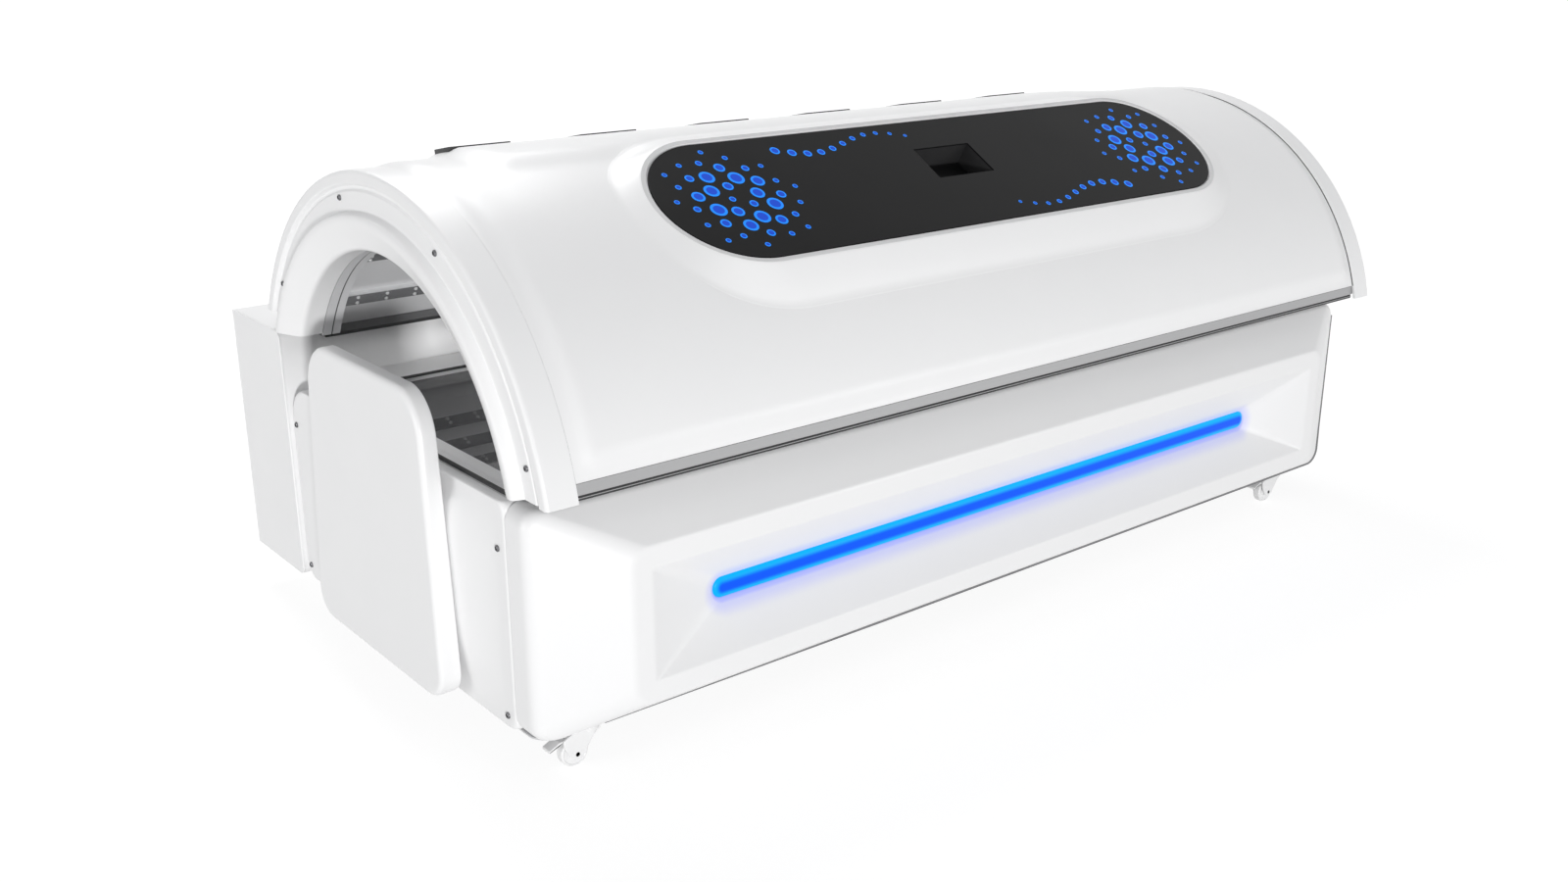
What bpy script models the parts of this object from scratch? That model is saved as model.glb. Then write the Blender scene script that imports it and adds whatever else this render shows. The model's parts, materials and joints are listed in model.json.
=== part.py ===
"""Red light therapy bed: a lamp-lined tub on casters under a hinged half-round lamp canopy.

Metres, +Z up, +X along the bed, the open front towards -Y, the hinge box along +Y.
Every piece is drawn about the bed's own centre line. BED_Y sets that line off the origin,
so that the origin is the middle of the footprint, on the floor.
"""
import math

import bmesh
import bpy
from mathutils import Vector

# Fits
GAP = 0.0003
RUN = 0.0005

# Smoothness of round stretches
CORNER_STEPS = 5
ARC_STEP_DEG = 5.0
ROUND_SIDES = 16

# Caster wheel, which sets the height of the pan over the floor
WHEEL_RADIUS = 0.025
WHEEL_WIDE = 0.018
WHEEL_SIDES = 16
CASTER_ROOM = 0.025

# Base: plan, heights and wall
BASE_LENGTH = 2.110
BASE_DEPTH = 0.866
RIM_TOP = 0.462
PAN_THICK = 0.003
SKIN = 0.005
HALF = BASE_LENGTH / 2
FRONT = -BASE_DEPTH / 2
REAR = BASE_DEPTH / 2
PAN_BOTTOM = 2 * WHEEL_RADIUS + CASTER_ROOM
PAN_TOP = PAN_BOTTOM + PAN_THICK
SKIRT_BOTTOM = PAN_TOP + GAP

# Front fascia: lid depth, edge rounding, raised frame and funnel to the light bar
LID_DEPTH = 0.056
LID_CORNER = 0.030
LID_ROUND = 0.016
LIP_FRONT = FRONT + LID_DEPTH + GAP
FRAME_REACH = 0.070
FRAME_Y = FRONT - FRAME_REACH
FRAME_HALF = HALF - 0.142
FRAME_LOW = SKIRT_BOTTOM + 0.0467
FRAME_HIGH = RIM_TOP - 0.074
FRAME_CORNER = 0.036
FRAME_BAND = 0.036
FRAME_SOFT = 0.009
BAR_HALF = FRAME_HALF - 0.191
BAR_Z = (FRAME_LOW + FRAME_HIGH) / 2 - 0.004
BAR_HEIGHT = 0.036
BAR_BEHIND_FRAME = 0.060
BAR_Y = FRAME_Y + BAR_BEHIND_FRAME
LENS_CROWN = 0.0055
LENS_FLANGE = 0.006
CHANNEL_DEPTH = 0.020

# End caps, their soft pedestals and the end shields that stand on them
CAP_RETURN = 0.045
CAP_ROUND = 0.012
CAP_REAR_CORNER = 0.068
PEDESTAL_HEIGHT = 0.0177
PEDESTAL_FLANK = 0.105
SHIELD_HALF = 0.224
SHIELD_TAPER = 0.016
SHIELD_LEAN = 0.008
SHIELD_LOW = SKIRT_BOTTOM + 0.0087
SHIELD_HIGH = RIM_TOP + 0.138
SHIELD_THICK = 0.030
SHIELD_CORNER = 0.052
SHIELD_TOP_CORNER = 0.075
SHIELD_ROUND = 0.008

# Tub: opening in the rim, clear sheet, lamp tray and gasket
TUB_HALF_LENGTH = HALF - 0.070
TUB_HALF_WIDTH = REAR - 0.098
TUB_CORNER = 0.0012
TUB_SAG = 0.080
TUB_RADIUS = (TUB_HALF_WIDTH ** 2 + TUB_SAG ** 2) / (2 * TUB_SAG)
SHEET_THICK = 0.006
SHEET_SET = 0.010
LEDGE = 0.012
RIM_SKIRT = 0.100
LAMP_DROP = 0.045
TRAY_SHEET = 0.003
TRAY_MARGIN = 0.010
SEAL_WIDE = 0.008
SEAL_TALL = 0.004
SEAL_INSET = 0.020
SEAL_CORNER = 0.060
SEAL_REAR = REAR - CAP_REAR_CORNER - 0.035

# Ladder frame on the pan, inside the line of the tub
RAIL_TUBE = 0.040
LADDER_INSET = 0.005
LADDER_HALF_LENGTH = TUB_HALF_LENGTH - LADDER_INSET
LADDER_HALF_WIDTH = TUB_HALF_WIDTH - LADDER_INSET
LADDER_TALL = 0.044
RUNG_X = 0.320

# Hinge box along the rear
BOX_LENGTH = BASE_LENGTH + 0.016
BOX_DEPTH = 0.224
BOX_TOP = RIM_TOP + 0.101
BOX_FRONT = REAR + GAP
BOX_BACK = BOX_FRONT + BOX_DEPTH
BOX_WALL = 0.004
BOX_ROUND = 0.016
BOX_CORNER = 0.005
COVER_THICK = 0.004
COVER_BACK = BOX_BACK + GAP + COVER_THICK
VENT_SLOTS = 6
VENT_SLOT_WIDE = 0.008
VENT_SLOT_TALL = 0.090
VENT_SLOT_PITCH = 0.028
VENT_X = 0.550
VENT_Z = PAN_BOTTOM + 0.225
INLET_X = BOX_LENGTH / 2 - 0.143
INLET_Z = PAN_BOTTOM + 0.075
INLET_WIDE = 0.048
INLET_TALL = 0.030
INLET_DEEP = 0.030
INLET_WALL = 0.004

# Canopy: arcs about one axis over the bed's centre line, one inside the other
AXIS_Z = RIM_TOP - 0.079
CANOPY_SPREAD = 0.092
BAND_RADIUS = REAR + CANOPY_SPREAD
BORDER_RADIUS = BAND_RADIUS - 0.004
FIELD_RADIUS = BORDER_RADIUS + 0.009
CREST_RADIUS = FIELD_RADIUS + 0.013
BOSS_PLANE = FIELD_RADIUS + 0.0008
LINER_RADIUS = BAND_RADIUS - 0.077
LINER_SHEET = 0.002
CLEAR_RADIUS = LINER_RADIUS - 0.046
CLEAR_THICK = 0.004
SHELL_WALL = 0.005
BORDER_FLAT = 0.006
BORDER_RISE = 0.032

# Lower edges of the canopy over the rim and the hinge box
FOOT_FRONT = RIM_TOP + 0.028
FOOT_REAR_OUTER = BOX_TOP + 0.035
FOOT_REAR_INNER = BOX_TOP + 0.007
SHELL_LOW_FRONT = FOOT_FRONT + 0.0265
SHELL_LOW_REAR = FOOT_REAR_OUTER + 0.0065
CANOPY_FRONT = -math.sqrt(BAND_RADIUS ** 2 - (FOOT_FRONT - AXIS_Z) ** 2)
BED_Y = -(CANOPY_FRONT + COVER_BACK) / 2

# End rings, and the shell's half length between them
RING_INSIDE = HALF - 0.048
RING_FACE = RING_INSIDE + 0.054
RING_CREST = RING_FACE + 0.015
RING_WALL = 0.006
RING_BORE = CLEAR_RADIUS - CLEAR_THICK - 0.004
RING_STEP = BAND_RADIUS - 0.070
SHELL_HALF = RING_INSIDE - GAP

# Raised forms of the shell: flat-faced boss for the oval panel, and a long crest behind it
PANEL_HALF = 0.684
PANEL_WIDE_HALF = 0.1474
PANEL_DEG = 120.77
PANEL_TURN = math.radians(PANEL_DEG)
PANEL_MID_V = -0.0053
PANEL_THICK = 0.003
PANEL_LOW = BOSS_PLANE + RUN
BOSS_MARGIN = 0.013
BOSS_FLANK = 0.085
BOSS_REACH = PANEL_WIDE_HALF + BOSS_MARGIN
CREST_NEAR = SHELL_HALF - 0.0997
CREST_NEAR_RAMP = 0.050
CREST_FAR = SHELL_HALF - 0.1367
CREST_FAR_RAMP = 0.330
CREST_REAR_DEG = 75.5
CREST_FRONT_DEG = CREST_REAR_DEG + 20.5
CREST_FLANK_REAR_DEG = 4.5
CREST_FLANK_FRONT_DEG = 7.0

# Display set in the panel
SCREEN_HALF_X = 0.0715
SCREEN_HALF_T = 0.0425
SCREEN_MID_V = PANEL_MID_V - 0.0257
POCKET_DEEP = 0.046
POCKET_WALL = 0.0035
SCREEN_THICK = 0.003

# Vents and fans along the crest
VENT_COUNT = 6
VENT_FIRST_X = -CREST_NEAR + 0.0873
VENT_PITCH = 0.260
VENT_LONG = 0.140
VENT_WIDE = 0.055
VENT_PROUD = 0.004
VENT_DEEP = VENT_PROUD + CREST_RADIUS - FIELD_RADIUS + SHELL_WALL
VENT_DEG = CREST_REAR_DEG + 3.6
GRILLE_BAR = 0.006
GRILLE_ROWS = 3
FAN_RADIUS = 0.050
FAN_HUB = 0.019
FAN_TALL = 0.018
FAN_BLADES = 7
FAN_TWIST_DEG = 22.0
FAN_BORE_CLEAR = 0.004
FAN_END = 0.020
SPOKE_WIDE = 0.012
TRAY_RADIUS = LINER_RADIUS + 0.040
TRAY_HALF = FAN_RADIUS + 0.012

# Canopy lamp strips and lower rails
STRIP_COUNT = 9
STRIP_WIDE = 0.030
STRIP_TALL = 0.008
RAIL_THICK = 0.008
RAIL_LIP = 0.0055
FRONT_RAIL_LIP_TOP = FOOT_FRONT + 0.0295
REAR_RAIL_LOW = FOOT_REAR_INNER - 0.010
REAR_RAIL_BACK = BOX_FRONT - 0.0103

# Hinge, arms and gas struts, the same at both places along the box
HINGE_INSET = 0.305
HINGE_X = HALF - HINGE_INSET
HINGE_Y = BOX_FRONT + 0.1117
HINGE_Z = BOX_TOP - 0.093
PIN_RADIUS = 0.005
PIN_PROUD = 0.003
ARM_THICK = 0.014
ARM_EYE = 0.018
ARM_PAD_FRONT = REAR_RAIL_BACK + 0.014
ARM_PAD_REAR = ARM_PAD_FRONT + 0.035
CHEEK = 0.004
CHEEK_CLEAR = 0.005
CHEEK_HALF = 0.020
WEB_BEHIND = 0.030
BRACKET_DROP = 0.022
LEVER = 0.060
LEVER_DEG = 20.0
LEVER_END = 0.013
STUD_RADIUS = 0.004
STUD_LONG = 0.0125
EYE_CLEAR = 0.0028
EYE_WALL = 0.005
EYE_THICK = 0.010
ROD_RADIUS = 0.0045
BARREL_RADIUS = 0.011
BARREL_TOP = HINGE_Z - 0.170
BARREL_FLOOR = PAN_BOTTOM + 0.045
ROD_LOW = BARREL_FLOOR + 0.020
SLOT_CLEAR = 0.0025

# Rubber strip under the front rail
REST_HALF = RING_INSIDE - 0.017
REST_DEEP = 0.015
REST_FRONT = FRONT + 0.044

# Casters: places, fork and tread pedal
CASTER_X = HALF - 0.115
CASTER_FRONT = FRONT + 0.040
CASTER_REAR = REAR - 0.073
CASTER_TRAIL = 0.028
AXLE_RADIUS = 0.0038
FORK_HALF = WHEEL_WIDE / 2 + 0.008
FORK_CHEEK = 0.0055
CROWN_TOP = PAN_BOTTOM - 0.009
KING_RADIUS = 0.020
PEDAL_PIVOT_X = -CASTER_TRAIL - 0.018
PEDAL_PIVOT_Z = 2 * WHEEL_RADIUS
PEDAL_LONG = 0.030


def finish(name, colour, roughness, metallic=0.0):
    """Surface of one kind of piece."""
    material = bpy.data.materials.new(name)
    material.use_nodes = True
    shader = material.node_tree.nodes["Principled BSDF"]
    shader.inputs["Base Color"].default_value = (*colour, 1.0)
    shader.inputs["Roughness"].default_value = roughness
    shader.inputs["Metallic"].default_value = metallic
    material.diffuse_color = (*colour, 1.0)
    return material


def add_solid(name, skin, material=None, origin=(0.0, 0.0, 0.0)):
    """One closed body from a (points, faces) skin, with its origin on the axis it turns about."""
    points, faces = skin
    centre = Vector(origin)
    mesh = bpy.data.meshes.new(name)
    mesh.from_pydata([Vector(point) - centre for point in points], [], faces)
    body = bmesh.new()
    body.from_mesh(mesh)
    bmesh.ops.recalc_face_normals(body, faces=body.faces)
    body.to_mesh(mesh)
    body.free()
    mesh.shade_smooth()
    mesh.set_sharp_from_angle(angle=math.radians(32))
    piece = bpy.data.objects.new(name, mesh)
    piece.location = centre + Vector((0.0, BED_Y, 0.0))
    if material:
        mesh.materials.append(material)
    bpy.context.scene.collection.objects.link(piece)
    return piece


def combine(piece, tool, operation="DIFFERENCE"):
    """Cut a tool out of a piece, or join it on, and keep the tool as a guide."""
    tool.hide_render = True
    tool.display_type = "WIRE"
    change = piece.modifiers.new(tool.name, "BOOLEAN")
    change.operation = operation
    change.object = tool


def loft(loops, ring=False):
    """Skin over matching closed loops, capped at both ends or joined last to first."""
    count = len(loops[0])
    points = [point for loop in loops for point in loop]
    faces = []
    for row in range(len(loops) if ring else len(loops) - 1):
        here = row * count
        there = (row + 1) % len(loops) * count
        for i in range(count):
            j = (i + 1) % count
            faces.append((here + i, here + j, there + j, there + i))
    if not ring:
        faces.append(tuple(range(count)))
        faces.append(tuple(range(len(points) - count, len(points))))
    return points, faces


def rounded(a0, b0, a1, b1, radius, steps=CORNER_STEPS):
    """Rectangle with round corners: one radius, or one each for low-low, high-low, high-high, low-high."""
    radii = radius if isinstance(radius, tuple) else (radius,) * 4
    corners = ((a0, b0, 1, 1, 180), (a1, b0, -1, 1, 270), (a1, b1, -1, -1, 0), (a0, b1, 1, -1, 90))
    outline = []
    for (a, b, toward_a, toward_b, start), r in zip(corners, radii):
        for k in range(steps + 1):
            turn = math.radians(start + 90 * k / steps)
            outline.append((a + toward_a * r + r * math.cos(turn), b + toward_b * r + r * math.sin(turn)))
    return outline


def inset(rect, amount):
    """Round-cornered rectangle drawn in by an amount, or let out by a negative one."""
    a0, b0, a1, b1, radius = rect
    least = 0.001
    if isinstance(radius, tuple):
        radius = tuple(max(r - amount, least) for r in radius)
    else:
        radius = max(radius - amount, least)
    return a0 + amount, b0 + amount, a1 - amount, b1 - amount, radius


def prism_x(outline, x0, x1):
    """Outline in y and z, drawn out along the bed."""
    return loft([[(x, y, z) for y, z in outline] for x in (x0, x1)])


def prism_y(outline, y0, y1):
    """Outline in x and z, drawn out across the bed."""
    return loft([[(x, y, z) for x, z in outline] for y in (y0, y1)])


def prism_z(outline, z0, z1):
    """Outline in x and y, drawn upwards."""
    return loft([[(x, y, z) for x, y in outline] for z in (z0, z1)])


def rectangle(a0, b0, a1, b1):
    """Plain rectangle as an outline."""
    return [(a0, b0), (a1, b0), (a1, b1), (a0, b1)]


def arc(centre_a, centre_b, radius, start_deg, end_deg, steps):
    """Points along an arc, both ends included."""
    turns = [math.radians(start_deg + (end_deg - start_deg) * k / steps) for k in range(steps + 1)]
    return [(centre_a + radius * math.cos(t), centre_b + radius * math.sin(t)) for t in turns]


def circle(centre_a, centre_b, radius, sides=ROUND_SIDES, start_deg=0.0):
    """Closed round outline."""
    return arc(centre_a, centre_b, radius, start_deg, start_deg + 360.0 * (sides - 1) / sides, sides - 1)


def turned(profile, centre, axis, sides=ROUND_SIDES, start_deg=0.0):
    """Solid of revolution from (radius, place along the axis) pairs, capped at both ends."""
    cx, cy, cz = centre
    loops = []
    for radius, along in profile:
        ring = circle(0.0, 0.0, radius, sides, start_deg)
        if axis == "X":
            loops.append([(cx + along, cy + a, cz + b) for a, b in ring])
        elif axis == "Y":
            loops.append([(cx + a, cy + along, cz + b) for a, b in ring])
        else:
            loops.append([(cx + a, cy + b, cz + along) for a, b in ring])
    return loft(loops)


def lattice(us, vs, holes, w0, w1, place):
    """Plate ruled into cells by the lines us and vs, with the cells named in holes left open."""
    columns = len(us) - 1
    rows = len(vs) - 1
    points = [place(u, v, w) for w in (w0, w1) for v in vs for u in us]
    layer = len(us) * len(vs)

    def corner(i, j, level):
        return level * layer + j * len(us) + i

    def solid_cell(i, j):
        return 0 <= i < columns and 0 <= j < rows and (i, j) not in holes

    faces = []
    for j in range(rows):
        for i in range(columns):
            if not solid_cell(i, j):
                continue
            square = ((i, j), (i + 1, j), (i + 1, j + 1), (i, j + 1))
            beside = ((i, j - 1), (i + 1, j), (i, j + 1), (i - 1, j))
            faces.append(tuple(corner(a, b, 0) for a, b in reversed(square)))
            faces.append(tuple(corner(a, b, 1) for a, b in square))
            for k in range(4):
                if not solid_cell(*beside[k]):
                    a, b = square[k], square[(k + 1) % 4]
                    faces.append((corner(*a, 0), corner(*b, 0), corner(*b, 1), corner(*a, 1)))
    return points, faces


def spread(breaks, steps):
    """Values from break to break, with a count of equal steps in each stretch."""
    values = [breaks[0]]
    for low, high, count in zip(breaks, breaks[1:], steps):
        values += [low + (high - low) * (k + 1) / count for k in range(count)]
    return values


def merged(values, least):
    """Values in rising order, without those that lie closer than the least step to the one before."""
    kept = []
    for value in sorted(values):
        if not kept or value - kept[-1] > least:
            kept.append(value)
    return kept


def ease(t):
    """Smooth step from 0 to 1."""
    t = min(max(t, 0.0), 1.0)
    return t * t * (3.0 - 2.0 * t)


def on_canopy(x, radius, turn):
    """Point at a radius and turn about the canopy's axis; a quarter turn is the crest."""
    return x, radius * math.cos(turn), AXIS_Z + radius * math.sin(turn)


def canopy_frame(turn):
    """Place function for a flat piece: along the bed, up the front slope, out from the axis."""
    def place(u, v, w):
        y = w * math.cos(turn) - v * math.sin(turn)
        z = AXIS_Z + w * math.sin(turn) + v * math.cos(turn)
        return u, y, z
    return place


def front_turn(radius, height):
    """Turn at which an arc of this radius comes down to a height at the front."""
    return math.pi - math.asin((height - AXIS_Z) / radius)


def rear_turn(radius, height):
    """Turn at which an arc of this radius comes down to a height at the rear."""
    return math.asin((height - AXIS_Z) / radius)


def canopy_arc(radius, start, end):
    """Points of a canopy arc in y and z, in steps of about ARC_STEP_DEG."""
    steps = math.ceil(abs(math.degrees(end - start)) / ARC_STEP_DEG)
    return arc(0.0, AXIS_Z, radius, math.degrees(start), math.degrees(end), steps)


def tub_height(y):
    """Underside of the lying sheet across the bed."""
    edge = RIM_TOP - SHEET_SET - SHEET_THICK
    return edge - TUB_SAG + TUB_RADIUS - math.sqrt(TUB_RADIUS ** 2 - y ** 2)


def clear_scene():
    """Start from an empty scene."""
    for old in list(bpy.data.objects):
        bpy.data.objects.remove(old, do_unlink=True)


clear_scene()
WHITE = finish("white_gloss_shell", (0.86, 0.86, 0.87), 0.22)
WHITE_BASE = finish("white_base_moulding", (0.85, 0.85, 0.86), 0.25)
ALUMINIUM = finish("satin_aluminium", (0.58, 0.58, 0.59), 0.35, 0.9)
BLACK_GLOSS = finish("black_gloss_panel", (0.012, 0.012, 0.013), 0.12)
BLACK_MATT = finish("black_matt_plastic", (0.02, 0.02, 0.02), 0.55)
RUBBER = finish("black_rubber", (0.015, 0.015, 0.015), 0.8)
STEEL = finish("painted_steel", (0.62, 0.62, 0.63), 0.45, 0.2)
CHROME = finish("bright_steel", (0.75, 0.75, 0.76), 0.18, 1.0)
REFLECTOR = finish("grey_reflector", (0.42, 0.42, 0.43), 0.30, 0.5)
SMOKED = finish("smoked_clear_sheet", (0.10, 0.10, 0.11), 0.08)
BLUE_GLOW = finish("blue_light_lens", (0.0, 0.28, 1.0), 0.20)
CASTER_WHITE = finish("white_caster_nylon", (0.82, 0.82, 0.82), 0.40)


def floor_pan():
    """Bottom plate that carries the mouldings above and the casters below."""
    edge = rounded(-HALF + CAP_ROUND, FRONT + CAP_ROUND, HALF - CAP_ROUND, REAR, LID_CORNER)
    add_solid("base_floor_pan", prism_z(edge, PAN_BOTTOM, PAN_TOP), STEEL)


def ladder_frame():
    """Welded tube frame lying on the pan: two side rails, two ends and two rungs."""
    us = [-LADDER_HALF_LENGTH, -LADDER_HALF_LENGTH + RAIL_TUBE,
          -RUNG_X - RAIL_TUBE / 2, -RUNG_X + RAIL_TUBE / 2,
          RUNG_X - RAIL_TUBE / 2, RUNG_X + RAIL_TUBE / 2,
          LADDER_HALF_LENGTH - RAIL_TUBE, LADDER_HALF_LENGTH]
    vs = [-LADDER_HALF_WIDTH, -LADDER_HALF_WIDTH + RAIL_TUBE,
          LADDER_HALF_WIDTH - RAIL_TUBE, LADDER_HALF_WIDTH]
    holes = {(1, 1), (3, 1), (5, 1)}
    low = PAN_TOP + GAP
    skin = lattice(us, vs, holes, low, low + LADDER_TALL, lambda u, v, w: (u, v, w))
    add_solid("base_frame", skin, ALUMINIUM)


def front_fascia():
    """Moulded lid: rounded edge, flanks out to a raised frame, funnel in to the light bar slot."""
    lid = (-HALF, SKIRT_BOTTOM, HALF, RIM_TOP, LID_CORNER)
    frame = (-FRAME_HALF, FRAME_LOW, FRAME_HALF, FRAME_HIGH, FRAME_CORNER)
    hollow = inset(frame, FRAME_BAND)
    slot = (-BAR_HALF, BAR_Z - BAR_HEIGHT / 2, BAR_HALF, BAR_Z + BAR_HEIGHT / 2, BAR_HEIGHT / 2 - GAP)

    def loop(rect, y):
        return [(x, y, z) for x, z in rounded(*rect)]

    def between(first, second, share):
        return [tuple(a + (b - a) * share for a, b in zip(p, q)) for p, q in zip(first, second)]

    edge = loop(lid, FRONT)
    rim = loop(lid, FRONT + LID_ROUND)
    flank = between(edge, loop(inset(frame, -FRAME_SOFT), FRAME_Y + FRAME_SOFT), LID_ROUND / FRAME_REACH)
    outside = [loop(lid, FRONT + LID_DEPTH)]
    for k in range(4):
        share = k / 3
        outside.append(between(between(rim, edge, share), between(edge, flank, share), share))
    outside += [
        loop(inset(frame, -FRAME_SOFT), FRAME_Y + FRAME_SOFT),
        loop(inset(frame, -FRAME_SOFT / 4), FRAME_Y + FRAME_SOFT / 6),
        loop(inset(frame, FRAME_SOFT / 2), FRAME_Y),
        loop(inset(hollow, -FRAME_SOFT / 2), FRAME_Y),
        loop(inset(hollow, FRAME_SOFT / 3), FRAME_Y + FRAME_SOFT / 4),
        loop(inset(slot, -SKIN), BAR_Y - SKIN / 2),
        loop(slot, BAR_Y),
        loop(slot, BAR_Y + SKIN),
    ]
    inside = [
        loop(inset(slot, -2 * SKIN), BAR_Y + SKIN),
        loop(inset(hollow, FRAME_SOFT / 3), FRAME_Y + FRAME_SOFT / 4 + SKIN),
        loop(inset(frame, SKIN), FRAME_Y + SKIN),
        loop(inset(lid, LID_ROUND + SKIN), FRONT + SKIN),
        loop(inset(lid, SKIN), FRONT + LID_ROUND),
        loop(inset(lid, SKIN), FRONT + LID_DEPTH),
    ]
    add_solid("base_front_fascia", loft(outside + inside, ring=True), WHITE_BASE)

    def lens_loop(grow, y):
        return loop(inset(slot, -grow), y)

    back = BAR_Y + SKIN + GAP
    lens = loft([
        lens_loop(LENS_FLANGE, back + LENS_FLANGE / 2),
        lens_loop(LENS_FLANGE, back),
        lens_loop(-GAP, back),
        lens_loop(-GAP, BAR_Y),
        lens_loop(-BAR_HEIGHT / 8, BAR_Y - LENS_CROWN * 0.7),
        lens_loop(-BAR_HEIGHT / 3, BAR_Y - LENS_CROWN),
    ])
    add_solid("light_bar_lens", lens, BLUE_GLOW)

    channel_front = back + LENS_FLANGE / 2 + GAP
    channel_back = channel_front + CHANNEL_DEPTH
    z0 = BAR_Z - BAR_HEIGHT / 2
    z1 = BAR_Z + BAR_HEIGHT / 2
    tray = [(channel_front, z0), (channel_back, z0), (channel_back, z1), (channel_front, z1),
            (channel_front, z1 - TRAY_SHEET), (channel_back - TRAY_SHEET, z1 - TRAY_SHEET),
            (channel_back - TRAY_SHEET, z0 + TRAY_SHEET), (channel_front, z0 + TRAY_SHEET)]
    add_solid("light_bar_channel", prism_x(tray, -BAR_HALF, BAR_HALF), ALUMINIUM)


def end_cap_and_shield(side, label):
    """Moulded end of the base with its soft pedestal, and the thick round-cornered shield on it."""
    corners = (CAP_ROUND * 1.2, LID_CORNER, CAP_REAR_CORNER, CAP_ROUND * 1.2)
    cap = (LIP_FRONT, SKIRT_BOTTOM, REAR - GAP, RIM_TOP, corners)
    top = (-SHIELD_HALF, SHIELD_LOW + 2 * SHIELD_CORNER, SHIELD_HALF, RIM_TOP - SHIELD_CORNER, SHIELD_CORNER)
    foot = (-SHIELD_HALF - PEDESTAL_FLANK, SKIRT_BOTTOM + 1.5 * CAP_ROUND,
            SHIELD_HALF + PEDESTAL_FLANK, RIM_TOP - 1.5 * CAP_ROUND, SHIELD_CORNER * 1.4)
    middle = tuple((a + b) / 2 for a, b in zip(top, foot))

    def loop(rect, out):
        return [(side * (HALF + out), y, z) for y, z in rounded(*rect)]

    inside = [
        loop(inset(top, SKIN), PEDESTAL_HEIGHT - SKIN),
        loop(inset(foot, SKIN), -SKIN),
        loop(inset(cap, CAP_ROUND + SKIN), -SKIN),
        loop(inset(cap, SKIN), -CAP_ROUND),
        loop(inset(cap, SKIN), -CAP_RETURN),
    ]
    outside = [loop(cap, -CAP_RETURN)]
    for k in range(4):
        turn = math.radians(30 * k)
        outside.append(loop(inset(cap, CAP_ROUND * (1 - math.cos(turn))), -CAP_ROUND * (1 - math.sin(turn))))
    outside += [loop(foot, 0.0), loop(inset(middle, -0.012), PEDESTAL_HEIGHT * 0.30),
                loop(inset(middle, 0.012), PEDESTAL_HEIGHT * 0.70), loop(top, PEDESTAL_HEIGHT)]
    add_solid("base_end_cap_" + label, loft(inside + outside), WHITE_BASE)

    plate = (-SHIELD_HALF, SHIELD_LOW, SHIELD_HALF, SHIELD_HIGH,
             (SHIELD_CORNER, SHIELD_CORNER, SHIELD_TOP_CORNER, SHIELD_TOP_CORNER))
    back = PEDESTAL_HEIGHT + GAP
    back_round = SHIELD_ROUND / 2

    def shield_loop(amount, out, lean):
        tapered = []
        for y, z in rounded(*inset(plate, amount)):
            down = (SHIELD_HIGH - z) / (SHIELD_HIGH - SHIELD_LOW)
            wide = 1.0 + SHIELD_TAPER / SHIELD_HALF * (2.0 * down - 1.0)
            tapered.append((side * (HALF + out + lean * down), y * wide, z))
        return tapered

    layers = [shield_loop(back_round, back, 0.0), shield_loop(0.0, back + back_round, 0.0)]
    for k in range(4):
        turn = math.radians(30 * k)
        depth = back + SHIELD_THICK - SHIELD_ROUND * (1 - math.sin(turn))
        layers.append(shield_loop(SHIELD_ROUND * (1 - math.cos(turn)), depth, SHIELD_LEAN))
    add_solid("end_shield_" + label, loft(layers), WHITE)


def side_points(a0, b0, a1, b1, radius, count):
    """Round-cornered outline whose two long-b sides are ruled into equal steps."""
    outline = []
    corner = rounded(a0, b0, a1, b1, radius)
    per_corner = CORNER_STEPS + 1
    for k in range(4):
        outline += corner[k * per_corner:(k + 1) * per_corner]
        if k in (1, 3):
            start = outline[-1]
            end = corner[(k + 1) % 4 * per_corner]
            outline += [(start[0], start[1] + (end[1] - start[1]) * j / count) for j in range(1, count)]
    return outline


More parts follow.
